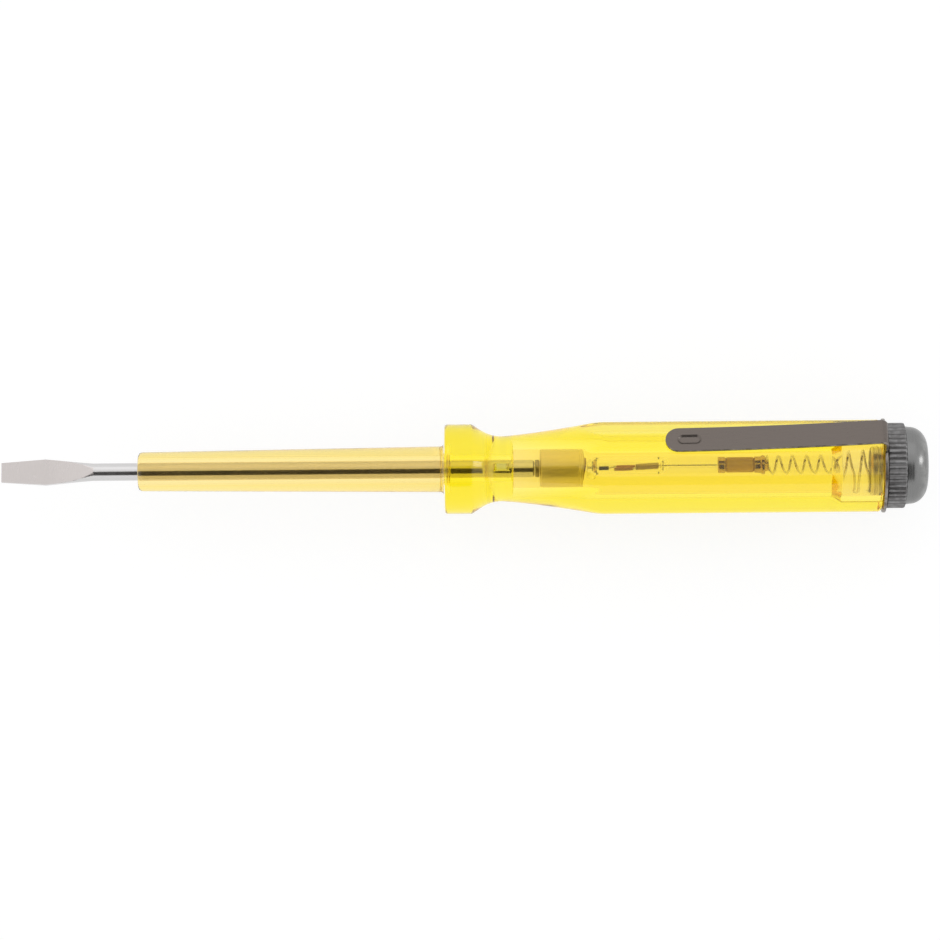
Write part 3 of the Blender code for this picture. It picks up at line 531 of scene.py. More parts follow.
# %% Handle: the two outlines
ACROSS_FLATS, CORNER_RADIUS = mm(17.5, 3.9)
COLLAR_RADIUS, NECK_RADIUS = mm(9.2, 6.7)
COLLAR_WIDTH, WAIST_LENGTH, FLARE_LENGTH = mm(5.5, 6.1, 20.1)
COLLAR_EDGE, REAR_EDGE, REAR_CHAMFER, BLEND = mm(0.6, 0.3, 0.5, 0.25)
WAIST_POWER, FLARE_POWER, FLARE_LIMIT = 0.62, 1.3, 1.04
CORNER_REACH = (ACROSS_FLATS / 2 - CORNER_RADIUS) / cos(radians(30))
BLANK_RADIUS = CORNER_REACH + CORNER_RADIUS
WAIST_END = COLLAR_WIDTH + WAIST_LENGTH


def hexagon_radius(angle):
    """How far the rounded hexagon reaches at an angle counted from the middle of a flat."""
    turn = (degrees(angle) + 30) % 60 - 30
    off = radians(30 - abs(turn))
    if ACROSS_FLATS / 2 * tan(radians(abs(turn))) < CORNER_REACH * 0.5:
        return ACROSS_FLATS / 2 / cos(radians(turn))
    return CORNER_REACH * cos(off) + sqrt(CORNER_RADIUS**2 - (CORNER_REACH * sin(off)) ** 2)


def soft_min(a, b):
    overlap = max(BLEND - abs(a - b), 0.0) / BLEND
    return min(a, b) - overlap * overlap * BLEND / 4


def round_radius(x, front, end):
    """The turned profile of the handle: collar, waist, neck, flare and grip."""
    past = x - front
    if past < COLLAR_WIDTH:
        edge = max(0.0, COLLAR_EDGE - past)
        return COLLAR_RADIUS - COLLAR_EDGE + sqrt(COLLAR_EDGE**2 - edge**2)
    past -= COLLAR_WIDTH
    if past < WAIST_LENGTH:
        drop = (1 + cos(pi * (past / WAIST_LENGTH) ** WAIST_POWER)) / 2
        return NECK_RADIUS + (COLLAR_RADIUS - NECK_RADIUS) * drop
    run = (past - WAIST_LENGTH) / FLARE_LENGTH
    flare = NECK_RADIUS + (BLANK_RADIUS - NECK_RADIUS) * run**FLARE_POWER
    chamfer = BLANK_RADIUS - REAR_CHAMFER + (end - x)
    return min(flare, chamfer, BLANK_RADIUS * FLARE_LIMIT)


print("corner to corner:", in_mm(2 * BLANK_RADIUS), "mm")


# %% Handle: the grid and the bore
BORE_RADIUS, MOUTH_RADIUS, MOUTH_DEPTH, MOUTH_CONE = mm(4.0, 5.6, 10.5, 2.2)
STEP_ROUNDING, BORE_FLOOR, SOCKET_GAP = mm(0.9, 2.4, 0.1)
FLARE_ENDS, CHAMFER_ZONE, GRID_ANGLES = 25.2 * MM, 1.2 * MM, 240


def handle_stations(length):
    """Distances from the handle's front, close together where the profile turns."""
    stations = [COLLAR_EDGE * (1 - cos(radians(15 * i))) for i in range(7)]
    stations += between(COLLAR_EDGE, COLLAR_WIDTH, 14)
    stations += [COLLAR_WIDTH + WAIST_LENGTH * (i / 24) ** 1.3 for i in range(1, 25)]
    stations += between(WAIST_END, WAIST_END + FLARE_ENDS, 63)
    stations += between(WAIST_END + FLARE_ENDS, length - CHAMFER_ZONE, 16)
    stations += between(length - CHAMFER_ZONE, length - REAR_EDGE, 6)
    return stations + [length - REAR_EDGE * (1 - sin(radians(22.5 * i))) for i in range(1, 5)]


def bore_outline(front, end):
    """The inside, from the mouth's edge to the front of the collar."""
    bore_front, socket = front + WAIST_END + BORE_FLOOR, ROOT_STEP + SOCKET_GAP
    step = rounded([(end, MOUTH_RADIUS), (end - MOUTH_DEPTH + MOUTH_CONE, MOUTH_RADIUS),
                    (end - MOUTH_DEPTH, BORE_RADIUS), (bore_front, BORE_RADIUS)], STEP_ROUNDING, 8)
    mouth = [(end, MOUTH_RADIUS + REAR_EDGE), (end - REAR_EDGE, MOUTH_RADIUS)]
    root = [(front + socket, SHANK_HOLE), (front + socket, ROOT_RADIUS + SOCKET_GAP), (front, ROOT_RADIUS + SOCKET_GAP)]
    floor = [(bore_front, BORE_RADIUS), (bore_front, SHANK_HOLE)]
    return rounded(mouth + step[1:-1] + floor + root, 0.25 * MM, 3)


def make_handle():
    front, end = span("handle_body")
    shape = bmesh.new()
    rings = []
    for past in handle_stations(end - front):
        x = front + past
        edge = max(0.0, REAR_EDGE - (end - x)) / REAR_EDGE
        ring = []
        for i in range(GRID_ANGLES):
            angle = 2 * pi * i / GRID_ANGLES
            reach = round_radius(x, front, end)
            if past > WAIST_END:
                reach = soft_min(reach, hexagon_radius(angle))
            reach -= REAR_EDGE * (1 - sqrt(max(0.0, 1 - edge**2)))
            ring.append(shape.verts.new((x, reach * sin(angle), reach * cos(angle))))
        rings.append(ring)
    rings += [round_ring(shape, x, radius, GRID_ANGLES) for x, radius in bore_outline(front, end)]
    skin(shape, rings + rings[:1])
    return stands_for(as_object("handle", shape, radians(40)), "handle", "handle_body", HANDLE_PLASTIC)


handle = make_handle()
print("handle:", len(handle.data.polygons), "faces")


# %% [markdown]
# In the bore stand the pieces of the test circuit, one behind the other: a steel disc on the end of the shank, a
# drawn brass cup, the lamp with its own brass base, the resistor, and the spring that presses them together. The
# turned ones follow the CAD's sizes, with the small radii that drawing and pressing leave.

# %% Disc, cup and lamp base
def bore_piece(name, node, finish, outline, rounding, steps=3, segments=64):
    """A turned piece in the bore, which rides on the handle; its outline follows from its node's two ends."""
    obj = turned(name, rounded(outline(*span(node)), rounding, steps), segments)
    return stands_for(obj, "handle", node, finish)


def disc_outline(front, rear, radius=1.8 * MM):
    return [(front, 0.0), (front, radius), (rear, radius), (rear, 0.0)]


def cup_outline(front, rear, outer=3.9 * MM, wall=0.5 * MM, floor=1.0 * MM, groove=0.12 * MM):
    outside = [(front, 0.0), (front, outer), (rear - 0.9 * MM, outer), (rear - 0.7 * MM, outer - groove),
               (rear - 0.45 * MM, outer), (rear, outer)]
    return outside + [(rear, outer - wall), (front + floor, outer - wall), (front + floor, 0.0)]


def lamp_base_outline(front, rear, radius=2.6 * MM):
    return [(front, 0.0), (front, radius - 0.3 * MM), (front + 0.8 * MM, radius), (rear - 0.5 * MM, radius),
            (rear - 0.3 * MM, radius - 0.15 * MM), (rear, radius - 0.05 * MM), (rear, 0.0)]


bore_piece("disc", "contact_disc", DISC_STEEL, disc_outline, 0.15 * MM)
bore_piece("cup", "contact_cup", BRASS, cup_outline, 0.35 * MM, 4, 96)
bore_piece("lamp_base_shell", "lamp_base", TARNISHED_BRASS, lamp_base_outline, 0.2 * MM)
print("cup from and to:", in_mm(*span("contact_cup")), "mm")


# %% [markdown]
# The neon lamp is a thin glass bulb, drawn in at both ends on to its leads. Inside it, two coated rods lie side by
# side, a dark bead holds the front lead and a brown stem holds the rear one. A lead is a curve with a round bevel:
# its points give the bends, and the radius at each point makes the coated rod thicker than the bare wire.

# %% Lamp glass, bead and stem
GLASS_RADIUS, GLASS_WALL, LEAD_RADIUS, GLASS_SEAL = mm(2.6, 0.5, 0.25, 1.2)
BEAD_RADIUS, STEM_RADIUS_IN_LAMP, BEAD_HOLE, LAMP_SAG = mm(0.6, 0.95, 0.3, 0.75)
lamp_front, lamp_rear = span("lamp_glass")
SAG_LINE = [(0.0, 0.0), (lamp_front, 0.0), (lamp_front + 2.2 * MM, LAMP_SAG), (lamp_front + 9.0 * MM, LAMP_SAG * 0.7),
            (lamp_rear - 1.4 * MM, 0.0), (1.0, 0.0)]


def quarter(x, radius, size, start, end, steps=12):
    """Points of an arc about (x, radius), its angles counted from the X axis in degrees."""
    angles = [radians(start + (end - start) * i / steps) for i in range(steps + 1)]
    return [(x + size * cos(a), radius + size * sin(a)) for a in angles]


def make_lamp_glass(front, rear):
    hole = LEAD_RADIUS + 0.1 * MM
    inner = GLASS_RADIUS - GLASS_WALL
    shoulder, inside = GLASS_RADIUS - hole - GLASS_WALL, inner - hole - GLASS_WALL
    outline = quarter(front + shoulder, GLASS_RADIUS - shoulder, shoulder, 180, 90)
    outline += quarter(rear - shoulder, GLASS_RADIUS - shoulder, shoulder, 90, 0)
    outline += [(rear, hole), (rear - GLASS_SEAL, hole)]
    outline += quarter(rear - GLASS_SEAL - inside, inner - inside, inside, 0, 90)
    outline += quarter(front + GLASS_SEAL + inside, inner - inside, inside, 90, 180)
    outline += [(front + GLASS_SEAL, hole), (front, hole)]
    return stands_for(turned("lamp_bulb", outline, 72, hollow=True), "handle", "lamp_glass", LAMP_GLASS)


def sagged(obj):
    """Moves each vertex towards -Y by what the line of (station, amount) says at its station."""
    for vertex in obj.data.vertices:
        for (x0, low), (x1, high) in zip(SAG_LINE, SAG_LINE[1:]):
            if x0 <= vertex.co.x <= x1:
                vertex.co.y -= low + (high - low) * (vertex.co.x - x0) / (x1 - x0)
                break
    return obj


def make_bead(name, node, finish, radius, rounding):
    """A glass bead on a lead."""
    front, rear = span(node)
    outline = [(front, BEAD_HOLE), (front, radius), (rear, radius), (rear, BEAD_HOLE)]
    bead = sagged(turned(name, rounded(outline, rounding, 6), 48, hollow=True))
    return stands_for(bead, "handle", node, finish)


make_lamp_glass(lamp_front, lamp_rear)
make_bead("lamp_bead", "lamp_front_bead", DARK_GLASS, BEAD_RADIUS, 0.25 * MM)
make_bead("lamp_stem", "lamp_rear_stem", STEM_GLAZE, STEM_RADIUS_IN_LAMP, 0.4 * MM)
print("lamp from and to:", in_mm(lamp_front, lamp_rear), "mm")


# %% Leads and electrodes
PAIR_TURN, ROD_RADIUS, ROD_OFFSET = radians(-65), 0.5 * MM, 0.9 * MM
ROD_FRONT, ROD_REAR = lamp_front + 5.5 * MM, lamp_front + 9.8 * MM


def bent_wire(name, points, radii, segments=8):
    """A round wire with smooth bends, made a mesh from a bevelled curve."""
    curve = bpy.data.curves.new(name, "CURVE")
    curve.dimensions = "3D"
    curve.bevel_depth = 1.0
    curve.bevel_resolution = segments // 2
    curve.use_fill_caps = True
    curve.resolution_u = 8
    curve.render_resolution_u = 0
    spline = curve.splines.new("NURBS")
    spline.points.add(len(points) - 1)
    spline.order_u = 3
    spline.use_endpoint_u = True
    for point, place, radius in zip(spline.points, points, radii):
        point.co = (*place, 1.0)
        point.radius = radius
    holder = add_object(name, curve)
    graph = bpy.context.evaluated_depsgraph_get()
    shape = bmesh.new()
    shape.from_mesh(bpy.data.meshes.new_from_object(holder.evaluated_get(graph)))
    bpy.data.objects.remove(holder)
    bmesh.ops.remove_doubles(shape, verts=shape.verts, dist=0.0001 * MM)
    return as_object(name, shape, radians(50))


def electrode(name, lead_end, bend, rod_end, side, node):
    """A bare lead that bends aside and carries a thicker coated rod."""
    way = 1 if bend > lead_end else -1
    stations = [lead_end, bend - way * 1.4 * MM, bend - way * 0.7 * MM, bend, bend + way * 0.35 * MM,
                bend + way * 0.6 * MM, rod_end - way * 0.2 * MM, rod_end]
    sides = [0.0, 0.0, side * 0.1, side * 0.9, side, side, side, side]
    radii = [LEAD_RADIUS] * 4 + [LEAD_RADIUS * 1.1, ROD_RADIUS, ROD_RADIUS, ROD_RADIUS * 0.7]
    points = [(x, y * cos(PAIR_TURN), y * sin(PAIR_TURN)) for x, y in zip(stations, sides)]
    obj = stands_for(sagged(bent_wire(name, points, radii)), "handle", node, ELECTRODE_COAT, LEAD_METAL)
    for face in obj.data.polygons:
        face.material_index = int((face.center.x - bend - way * 0.4 * MM) * way < 0)


electrode("front_electrode", span("lamp_front_electrode")[0], ROD_FRONT, ROD_REAR, ROD_OFFSET, "lamp_front_electrode")
electrode("rear_electrode", span("lamp_rear_electrode")[1], ROD_REAR, ROD_FRONT, -ROD_OFFSET, "lamp_rear_electrode")
print("length of the coated rods:", in_mm(ROD_REAR - ROD_FRONT), "mm")


# %% [markdown]
# The resistor is a glazed rod with pressed metal caps. The rear cap has a flange for the spring to sit on.

# %% Resistor and its caps
CAP_INNER, CAP_OUTER, CAP_SHEET = mm(2.2, 2.5, 0.3)


def core_outline(front, rear, under_cap=2.1 * MM, glazed=2.35 * MM, cap_edge=1.3 * MM):
    outline = [(front, 0.0), (front, under_cap), (front + cap_edge, under_cap), (front + cap_edge, glazed)]
    return outline + [(rear - cap_edge, glazed), (rear - cap_edge, under_cap), (rear, under_cap), (rear, 0.0)]


def front_cap_outline(front, rear):
    outline = [(front, 0.0), (front, CAP_OUTER), (rear - 0.2 * MM, CAP_OUTER), (rear, CAP_OUTER - 0.1 * MM)]
    return outline + [(rear, CAP_INNER), (front + CAP_SHEET, CAP_INNER), (front + CAP_SHEET, 0.0)]


def rear_cap_outline(front, rear, flange=2.9 * MM, boss=2.2 * MM):
    skirt, back = front + 1.2 * MM, front + 2.1 * MM
    outline = [(skirt, 0.0), (skirt, CAP_INNER), (front, CAP_INNER), (front, CAP_OUTER), (skirt, CAP_OUTER)]
    return outline + [(skirt + CAP_SHEET, flange), (back, flange), (back, boss), (rear, boss - 0.3 * MM), (rear, 0.0)]


bore_piece("resistor_rod", "resistor_core", BROWN_GLAZE, core_outline, 0.12 * MM, 3, 72)
bore_piece("resistor_cap", "resistor_front_cap", BRONZE, front_cap_outline, 0.25 * MM, 4, 72)
bore_piece("resistor_flange", "resistor_rear_cap", BRONZE, rear_cap_outline, 0.12 * MM, 3, 72)
print("resistor from and to:", in_mm(*span("resistor_core")), "mm")


# %% [markdown]
# What winds or repeats is grown by Geometry Nodes. A tree has its sizes as named inputs. A small function puts it on
# an object, sets the inputs by their identifiers, and keeps the result as a plain mesh.

# %% Tools for growing a mesh
def growing_tree(name, inputs):
    tree, given, out = new_tree(name, "Geometry", {"Geometry": "Geometry", **inputs}, {"Geometry": "Geometry"})
    tree.is_modifier = True
    return tree, given, out


def end_tree(tree, geometry, material, out):
    """Every tree ends in Realize Instances and Set Material, so that nothing is lost when it becomes a mesh."""
    real = add(tree, "GeometryNodeRealizeInstances", {"Geometry": geometry}, "Geometry")
    finished = add(tree, "GeometryNodeSetMaterial", {"Geometry": real, "Material": material}, "Geometry")
    fill(tree, out["Geometry"], finished)
    return tree


def grow(obj, tree, values):
    """Runs a tree on an object and keeps what it makes as the object's own mesh."""
    modifier = obj.modifiers.new(tree.name, "NODES")
    modifier.node_group = tree
    for item in tree.interface.items_tree:
        if item.in_out == "INPUT" and item.name in values:
            modifier[item.identifier] = values[item.name]
    graph = bpy.context.evaluated_depsgraph_get()
    grown = bpy.data.meshes.new_from_object(obj.evaluated_get(graph), preserve_all_data_layers=True, depsgraph=graph)
    obj.modifiers.clear()
    obj.data = grown
    shade(grown, SMOOTH_ANGLE)
    return obj


print("growing tools are ready")


# %% [markdown]
# The contact spring is a helix of round wire. Its first and last turns lie close, as the ends of a real spring are
# closed, and it widens where the bore opens to the mouth. The tree bends a straight line of points into the helix:
# the share of the way along gives each point its angle, its radius and its station.

# %% Contact spring: the tree
CLOSE_PITCH, WIRE_SIDES = 2.05, 12


def spring_tree():
    numbers = ["Front", "Rear", "Turns", "Closed Turns", "Start Angle", "Wire Radius", "Narrow Radius", "Wide Radius",
               "Widens From", "Widens To"]
    tree, g, out = growing_tree("spring_helix", {**dict.fromkeys(numbers, "Float"), "Points": "Int",
                                                 "Finish": "Material"})
    line = add(tree, "GeometryNodeCurvePrimitiveLine", {}, "Curve")
    points = add(tree, "GeometryNodeResampleCurve", {"Curve": line, "Count": g["Points"]}, "Curve")
    share = add(tree, "GeometryNodeSplineParameter", {}, "Factor")
    angle = calc(tree, "ADD", calc(tree, "MULTIPLY", share, g["Turns"], 2 * pi), g["Start Angle"])
    closed_share = calc(tree, "DIVIDE", g["Closed Turns"], g["Turns"])
    closed_length = calc(tree, "MULTIPLY", g["Closed Turns"], g["Wire Radius"], CLOSE_PITCH)
    open_end = calc(tree, "SUBTRACT", 1.0, closed_share)
    first = calc(tree, "ADD", g["Front"], g["Wire Radius"])
    whole = calc(tree, "SUBTRACT", g["Rear"], g["Wire Radius"], first)
    open_length = calc(tree, "SUBTRACT", whole, calc(tree, "MULTIPLY", closed_length, 2.0))
    station = calc(tree, "ADD", first, ramp(tree, share, 0.0, closed_share, 0.0, closed_length),
                   ramp(tree, share, closed_share, open_end, 0.0, open_length),
                   ramp(tree, share, open_end, 1.0, 0.0, closed_length))
    radius = ramp(tree, share, g["Widens From"], g["Widens To"], g["Narrow Radius"], g["Wide Radius"], True)
    y = calc(tree, "MULTIPLY", radius, calc(tree, "SINE", angle))
    z = calc(tree, "MULTIPLY", radius, calc(tree, "COSINE", angle))
    place = add(tree, "ShaderNodeCombineXYZ", {"X": station, "Y": y, "Z": z}, "Vector")
    bent = add(tree, "GeometryNodeSetPosition", {"Geometry": points, "Position": place}, "Geometry")
    circle = {"Resolution": WIRE_SIDES, "Radius": g["Wire Radius"]}
    wire = add(tree, "GeometryNodeCurvePrimitiveCircle", circle, "Curve")
    tube = add(tree, "GeometryNodeCurveToMesh", {"Curve": bent, "Profile Curve": wire, "Fill Caps": True}, "Mesh")
    return end_tree(tree, tube, g["Finish"], out)


# %% Contact spring
spring_front, spring_rear = span("contact_spring")
spring = grow(add_object("spring_wire", bpy.data.meshes.new("spring_wire")), spring_tree(), {
    "Front": spring_front, "Rear": spring_rear, "Turns": 8.25, "Closed Turns": 0.4,
    "Start Angle": radians(14), "Wire Radius": 0.25 * MM, "Narrow Radius": 2.75 * MM, "Wide Radius": 4.25 * MM,
    "Widens From": 0.62, "Widens To": 0.80, "Points": 400, "Finish": SPRING_STEEL})
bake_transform(spring)
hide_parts("contact_spring")
print("spring:", len(spring.data.polygons), "faces")


# %% [markdown]
# The pocket clip is one strip of dark-plated steel. Its arm runs forward over a corner of the grip to a round tip,
# where a long dimple is pressed in. At the rear it bends down into a ring that the cap clamps. The strip is a grid of
# sections along its path, with rounded edges, and its edges carry the wear attribute.

# %% Clip: path and sections
CLIP_THICKNESS, CLIP_WIDTH, CLIP_LENGTH, CLIP_ROOT_HEIGHT = mm(0.6, 5.5, 45.0, 12.9)
CLIP_BEND, CLIP_ROLL, CLIP_EDGE, TAB_FOOT = 1.3 * MM, radians(24), 0.14 * MM, 7.5 * MM
RING_INNER, RING_OUTER, RING_SEAM, RING_WORN_WIDTH = mm(5.7, 9.65, 6.5, 0.25)
DIMPLE_AT, DIMPLE_LENGTH, DIMPLE_WIDTH, DIMPLE_DEPTH, DIMPLE_WALL = mm(4.9, 5.2, 2.5, 0.4, 0.7)
TIP_GAP, STRAIGHT_RISE, FINE_STEP, FINE_STEPS = 0.15 * MM, 0.35, 0.0035, 56
CLIP_TIP_HEIGHT = BLANK_RADIUS + TIP_GAP + DIMPLE_DEPTH + CLIP_THICKNESS / 2
clip_ring_front = span("pocket_clip")[1] - CLIP_THICKNESS
TAB_AT = clip_ring_front + CLIP_THICKNESS / 2


def clip_path():
    """Stations and heights of the strip's middle line, close together where the dimple is."""
    tip, root = TAB_AT - CLIP_LENGTH, TAB_AT - CLIP_BEND
    path = []
    for share in [FINE_STEP * i for i in range(FINE_STEPS + 1)] + between(FINE_STEP * FINE_STEPS, 1.0, 30):
        rise = STRAIGHT_RISE * share + (1 - STRAIGHT_RISE) * share**2
        path.append((tip + (root - tip) * share, CLIP_TIP_HEIGHT + (CLIP_ROOT_HEIGHT - CLIP_TIP_HEIGHT) * rise))
    for i in range(13):
        angle = radians(75 - 75 * i / 12)
        path.append((root + CLIP_BEND * cos(angle), CLIP_ROOT_HEIGHT - CLIP_BEND + CLIP_BEND * sin(angle)))
    return path + [(TAB_AT, z) for z in between(path[-1][1], TAB_FOOT, 6)]


def clip_section(half_width, half_thick, across=40):
    """Points (across, up, wear) of one section: a flat strip with rounded edges."""
    edge = min(CLIP_EDGE, half_width * 0.5, half_thick)
    flat = [-1 + 2 * i / across for i in range(across + 1)]
    top = [(t * (half_width - edge), half_thick, 0.0) for t in flat]
    right = [((half_width - edge) + edge * sin(a), (half_thick - edge) + edge * cos(a), 1.0)
             for a in (radians(30), radians(60), radians(90))]
    lower_right = [(x, -z, w) for x, z, w in reversed(right)]
    return top + right + lower_right + [(-x, -z, w) for x, z, w in top + right + lower_right]


print("clip ring at", in_mm(clip_ring_front), "mm")


# %% Clip: strip, dimple and ring
def pressed(gone, across):
    """How far the dimple's tool has pushed the strip at this place."""
    past_straight = max(0.0, abs(gone - DIMPLE_AT) - (DIMPLE_LENGTH - DIMPLE_WIDTH) / 2)
    inside = DIMPLE_WIDTH / 2 - hypot(past_straight, across)
    share = max(0.0, min(1.0, inside / DIMPLE_WALL))
    return DIMPLE_DEPTH * share * share * (3 - 2 * share)


def strip_rings(shape, wear):
    path = clip_path()
    rings, gone = [], 0.0
    for i, (x, z) in enumerate(path):
        before, after = path[max(i - 1, 0)], path[min(i + 1, len(path) - 1)]
        gone += dist(path[i], path[i - 1]) if i else 0.0
        along = Vector((after[0] - before[0], 0.0, after[1] - before[1])).normalized()
        up = Vector((-along.z, 0.0, along.x))
        short = max(0.0, CLIP_WIDTH / 2 - gone)
        half_width = sqrt(max((CLIP_WIDTH / 2) ** 2 - short**2, (0.05 * MM) ** 2))
        near_tip = max(0.0, 1 - gone / CLIP_EDGE)
        half_thick = CLIP_THICKNESS / 2 - CLIP_EDGE * (1 - sqrt(1 - near_tip**2))
        ring = []
        for across, height, worn in clip_section(half_width, half_thick):
            ring.append(shape.verts.new(Vector((x, across, z)) + up * (height - pressed(gone, across))))
            wear.append(max(worn, near_tip))
        rings.append(ring)
    return rings


def ring_rings(shape, wear, count=120):
    front, rear, start = clip_ring_front, clip_ring_front + CLIP_THICKNESS, (clip_ring_front, RING_SEAM)
    outline = [start, (front, RING_OUTER), (rear, RING_OUTER), (rear, RING_INNER), (front, RING_INNER), start]
    rings = []
    for x, radius in rounded(outline, CLIP_EDGE, 4)[:-1]:
        rings.append(round_ring(shape, x, radius, count))
        wear += [1.0 if radius > RING_OUTER - RING_WORN_WIDTH else 0.0] * count
    return rings


def set_wear(obj, values):
    """Stores how open to rubbing each vertex is."""
    obj.data.attributes.new("wear", "FLOAT", "POINT").data.foreach_set("value", values)


def make_clip():
    shape, wear = bmesh.new(), []
    strip = strip_rings(shape, wear)
    skin(shape, strip)
    shape.faces.new(strip[0])
    shape.faces.new(strip[-1])
    ring = ring_rings(shape, wear)
    skin(shape, ring + ring[:1])
    bmesh.ops.rotate(shape, verts=shape.verts, cent=(0, 0, 0), matrix=Matrix.Rotation(-CLIP_ROLL, 3, "X"))
    obj = as_object("clip", shape, radians(50))
    set_wear(obj, wear)
    return stands_for(obj, "clip", "pocket_clip", DARK_PLATE)


clip = make_clip()
print("clip:", len(clip.data.polygons), "faces, its ring and its strip in one object")


# %% [markdown]
# The end cap screws into the handle's mouth. Its knurl and its thread are ribs that follow a rule, so each is cut by
# a tree that pushes the turned blank's points inwards: the knurl by the angle round the cap, and the thread by the
# angle and the station together. The knurl's tree also stores where the crests are, and the wear is seen there.

# %% Knurl and thread trees
def polar(tree):
    """The station, the radius and the share of a turn of each point."""
    place = add(tree, "GeometryNodeInputPosition", {}, "Position")
    x, y, z = add(tree, "ShaderNodeSeparateXYZ", {"Vector": place}).node.outputs
    radius = calc(tree, "SQRT", calc(tree, "ADD", calc(tree, "MULTIPLY", y, y), calc(tree, "MULTIPLY", z, z)))
    return x, radius, calc(tree, "DIVIDE", calc(tree, "ARCTAN2", y, z), 2 * pi)


def off_crest(tree, ribs):
    """0 on the crest of each rib and 1 in the middle of each groove, from how many ribs the point is past."""
    return calc(tree, "MULTIPLY", calc(tree, "ABSOLUTE", calc(tree, "SUBTRACT", calc(tree, "FRACT", ribs), 0.5)), 2.0)


def push_in(tree, geometry, amount):
    """Moves every point towards the axis by the amount."""
    place = add(tree, "GeometryNodeInputPosition", {}, "Position")
    inwards = vector(tree, "NORMALIZE", vector(tree, "MULTIPLY", place, (0.0, -1.0, -1.0)))
    offset = vector(tree, "SCALE", inwards, amount)
    return add(tree, "GeometryNodeSetPosition", {"Geometry": geometry, "Offset": offset}, "Geometry")


def knurl_tree():
    sizes = ["Teeth", "Depth", "Land", "From Radius", "Full Radius"]
    tree, g, out = growing_tree("straight_knurl", {**dict.fromkeys(sizes, "Float"), "Finish": "Material"})
    _, radius, turn = polar(tree)
    groove = ramp(tree, off_crest(tree, calc(tree, "MULTIPLY", turn, g["Teeth"])), g["Land"], 1.0)
    outer = ramp(tree, radius, g["From Radius"], g["Full Radius"])
    cut = push_in(tree, g["Geometry"], calc(tree, "MULTIPLY", groove, outer, g["Depth"]))
    crest = calc(tree, "MULTIPLY", calc(tree, "SUBTRACT", 1.0, groove), outer)
    inputs = {"Geometry": cut, "Name": "wear", "Value": crest}
    kept = add(tree, "GeometryNodeStoreNamedAttribute", inputs, "Geometry", data_type="FLOAT", domain="POINT")
    return end_tree(tree, kept, g["Finish"], out)


def thread_tree():
    sizes = ["Pitch", "Depth", "Front", "Rear", "From Radius", "To Radius"]
    tree, g, out = growing_tree("screw_thread", {**dict.fromkeys(sizes, "Float"), "Finish": "Material"})
    x, radius, turn = polar(tree)
    rib = off_crest(tree, calc(tree, "ADD", calc(tree, "DIVIDE", x, g["Pitch"]), turn))
    amount = calc(tree, "MULTIPLY", ramp(tree, rib, 0.15, 0.9, 0.0, g["Depth"]),
                  calc(tree, "GREATER_THAN", radius, g["From Radius"]), calc(tree, "LESS_THAN", radius, g["To Radius"]),
                  calc(tree, "GREATER_THAN", x, g["Front"]), calc(tree, "LESS_THAN", x, g["Rear"]))
    return end_tree(tree, push_in(tree, g["Geometry"], amount), g["Finish"], out)


# %% End cap
KNURL_TEETH, KNURL_RADIUS, STEM_RADIUS = 45, 8.75 * MM, 5.4 * MM
CAP_REAR = span("end_cap")[1] + 0.3 * MM
RECESS_RADIUS, RECESS_DEPTH, STEM_BORE, STEM_BORE_DEPTH = mm(5.6, 2.0, 4.7, 1.2)
STEM_CHAMFER, CLIP_GAP, CROWN_ROUNDING = mm(0.4, 0.1, 0.35)


def make_end_cap():
    front, rear = span("end_cap")[0], CAP_REAR
    knurl_front, stem_front = clip_ring_front + CLIP_THICKNESS + CLIP_GAP, front + STEM_CHAMFER
    outline = [(front + STEM_BORE_DEPTH, 0.0), (front + STEM_BORE_DEPTH, STEM_BORE), (front, STEM_BORE),
               (front, STEM_RADIUS - STEM_CHAMFER)]
    outline += [(x, STEM_RADIUS) for x in [stem_front] + between(stem_front, knurl_front - 0.05 * MM, 30)]
    outline += [(knurl_front, STEM_RADIUS)]
    crown = [(knurl_front, STEM_RADIUS), (knurl_front, KNURL_RADIUS), (rear, KNURL_RADIUS), (rear, RECESS_RADIUS)]
    outline += rounded(crown, CROWN_ROUNDING, 4)[1:]
    outline += [(rear - RECESS_DEPTH, RECESS_RADIUS), (rear - RECESS_DEPTH, 0.0)]
    thread_end = knurl_front - 0.02 * MM
    obj = turned("end_cap_body", outline, KNURL_TEETH * 8)
    grow(obj, knurl_tree(), {"Teeth": float(KNURL_TEETH), "Depth": 0.22 * MM, "Land": 0.30, "From Radius": 8.0 * MM,
                             "Full Radius": 8.5 * MM, "Finish": KNURLED})
    grow(obj, thread_tree(), {"Pitch": 1.0 * MM, "Depth": 0.45 * MM, "Front": front + 0.3 * MM, "Rear": thread_end,
                              "From Radius": 5.3 * MM, "To Radius": 5.5 * MM, "Finish": KNURLED})
    stands_for(obj, "cap", "end_cap", THREAD_METAL)
    for face in obj.data.polygons:
        if face.center.x < thread_end:
            face.material_index = len(obj.data.materials) - 1
    return obj


cap = make_end_cap()
print("end cap:", len(cap.data.polygons), "faces")


# %% [markdown]
# The dome behind the knurl is what the finger touches. It is turned: a short side, then a quarter of an ellipse down
# to a small flat face, with a worn band where fingers rub.

# %% Touch contact
DOME_SEAT, DOME_BASE, DOME_SHOULDER, DOME_FACE, DOME_SIDE = mm(5.5, 8.05, 7.9, 3.8, 1.0)
DOME_WORN_AT, DOME_WORN_WIDTH, DOME_GAP, DOME_EDGE = mm(6.6, 1.2, 0.02, 0.15)
DOME_STEPS = 24


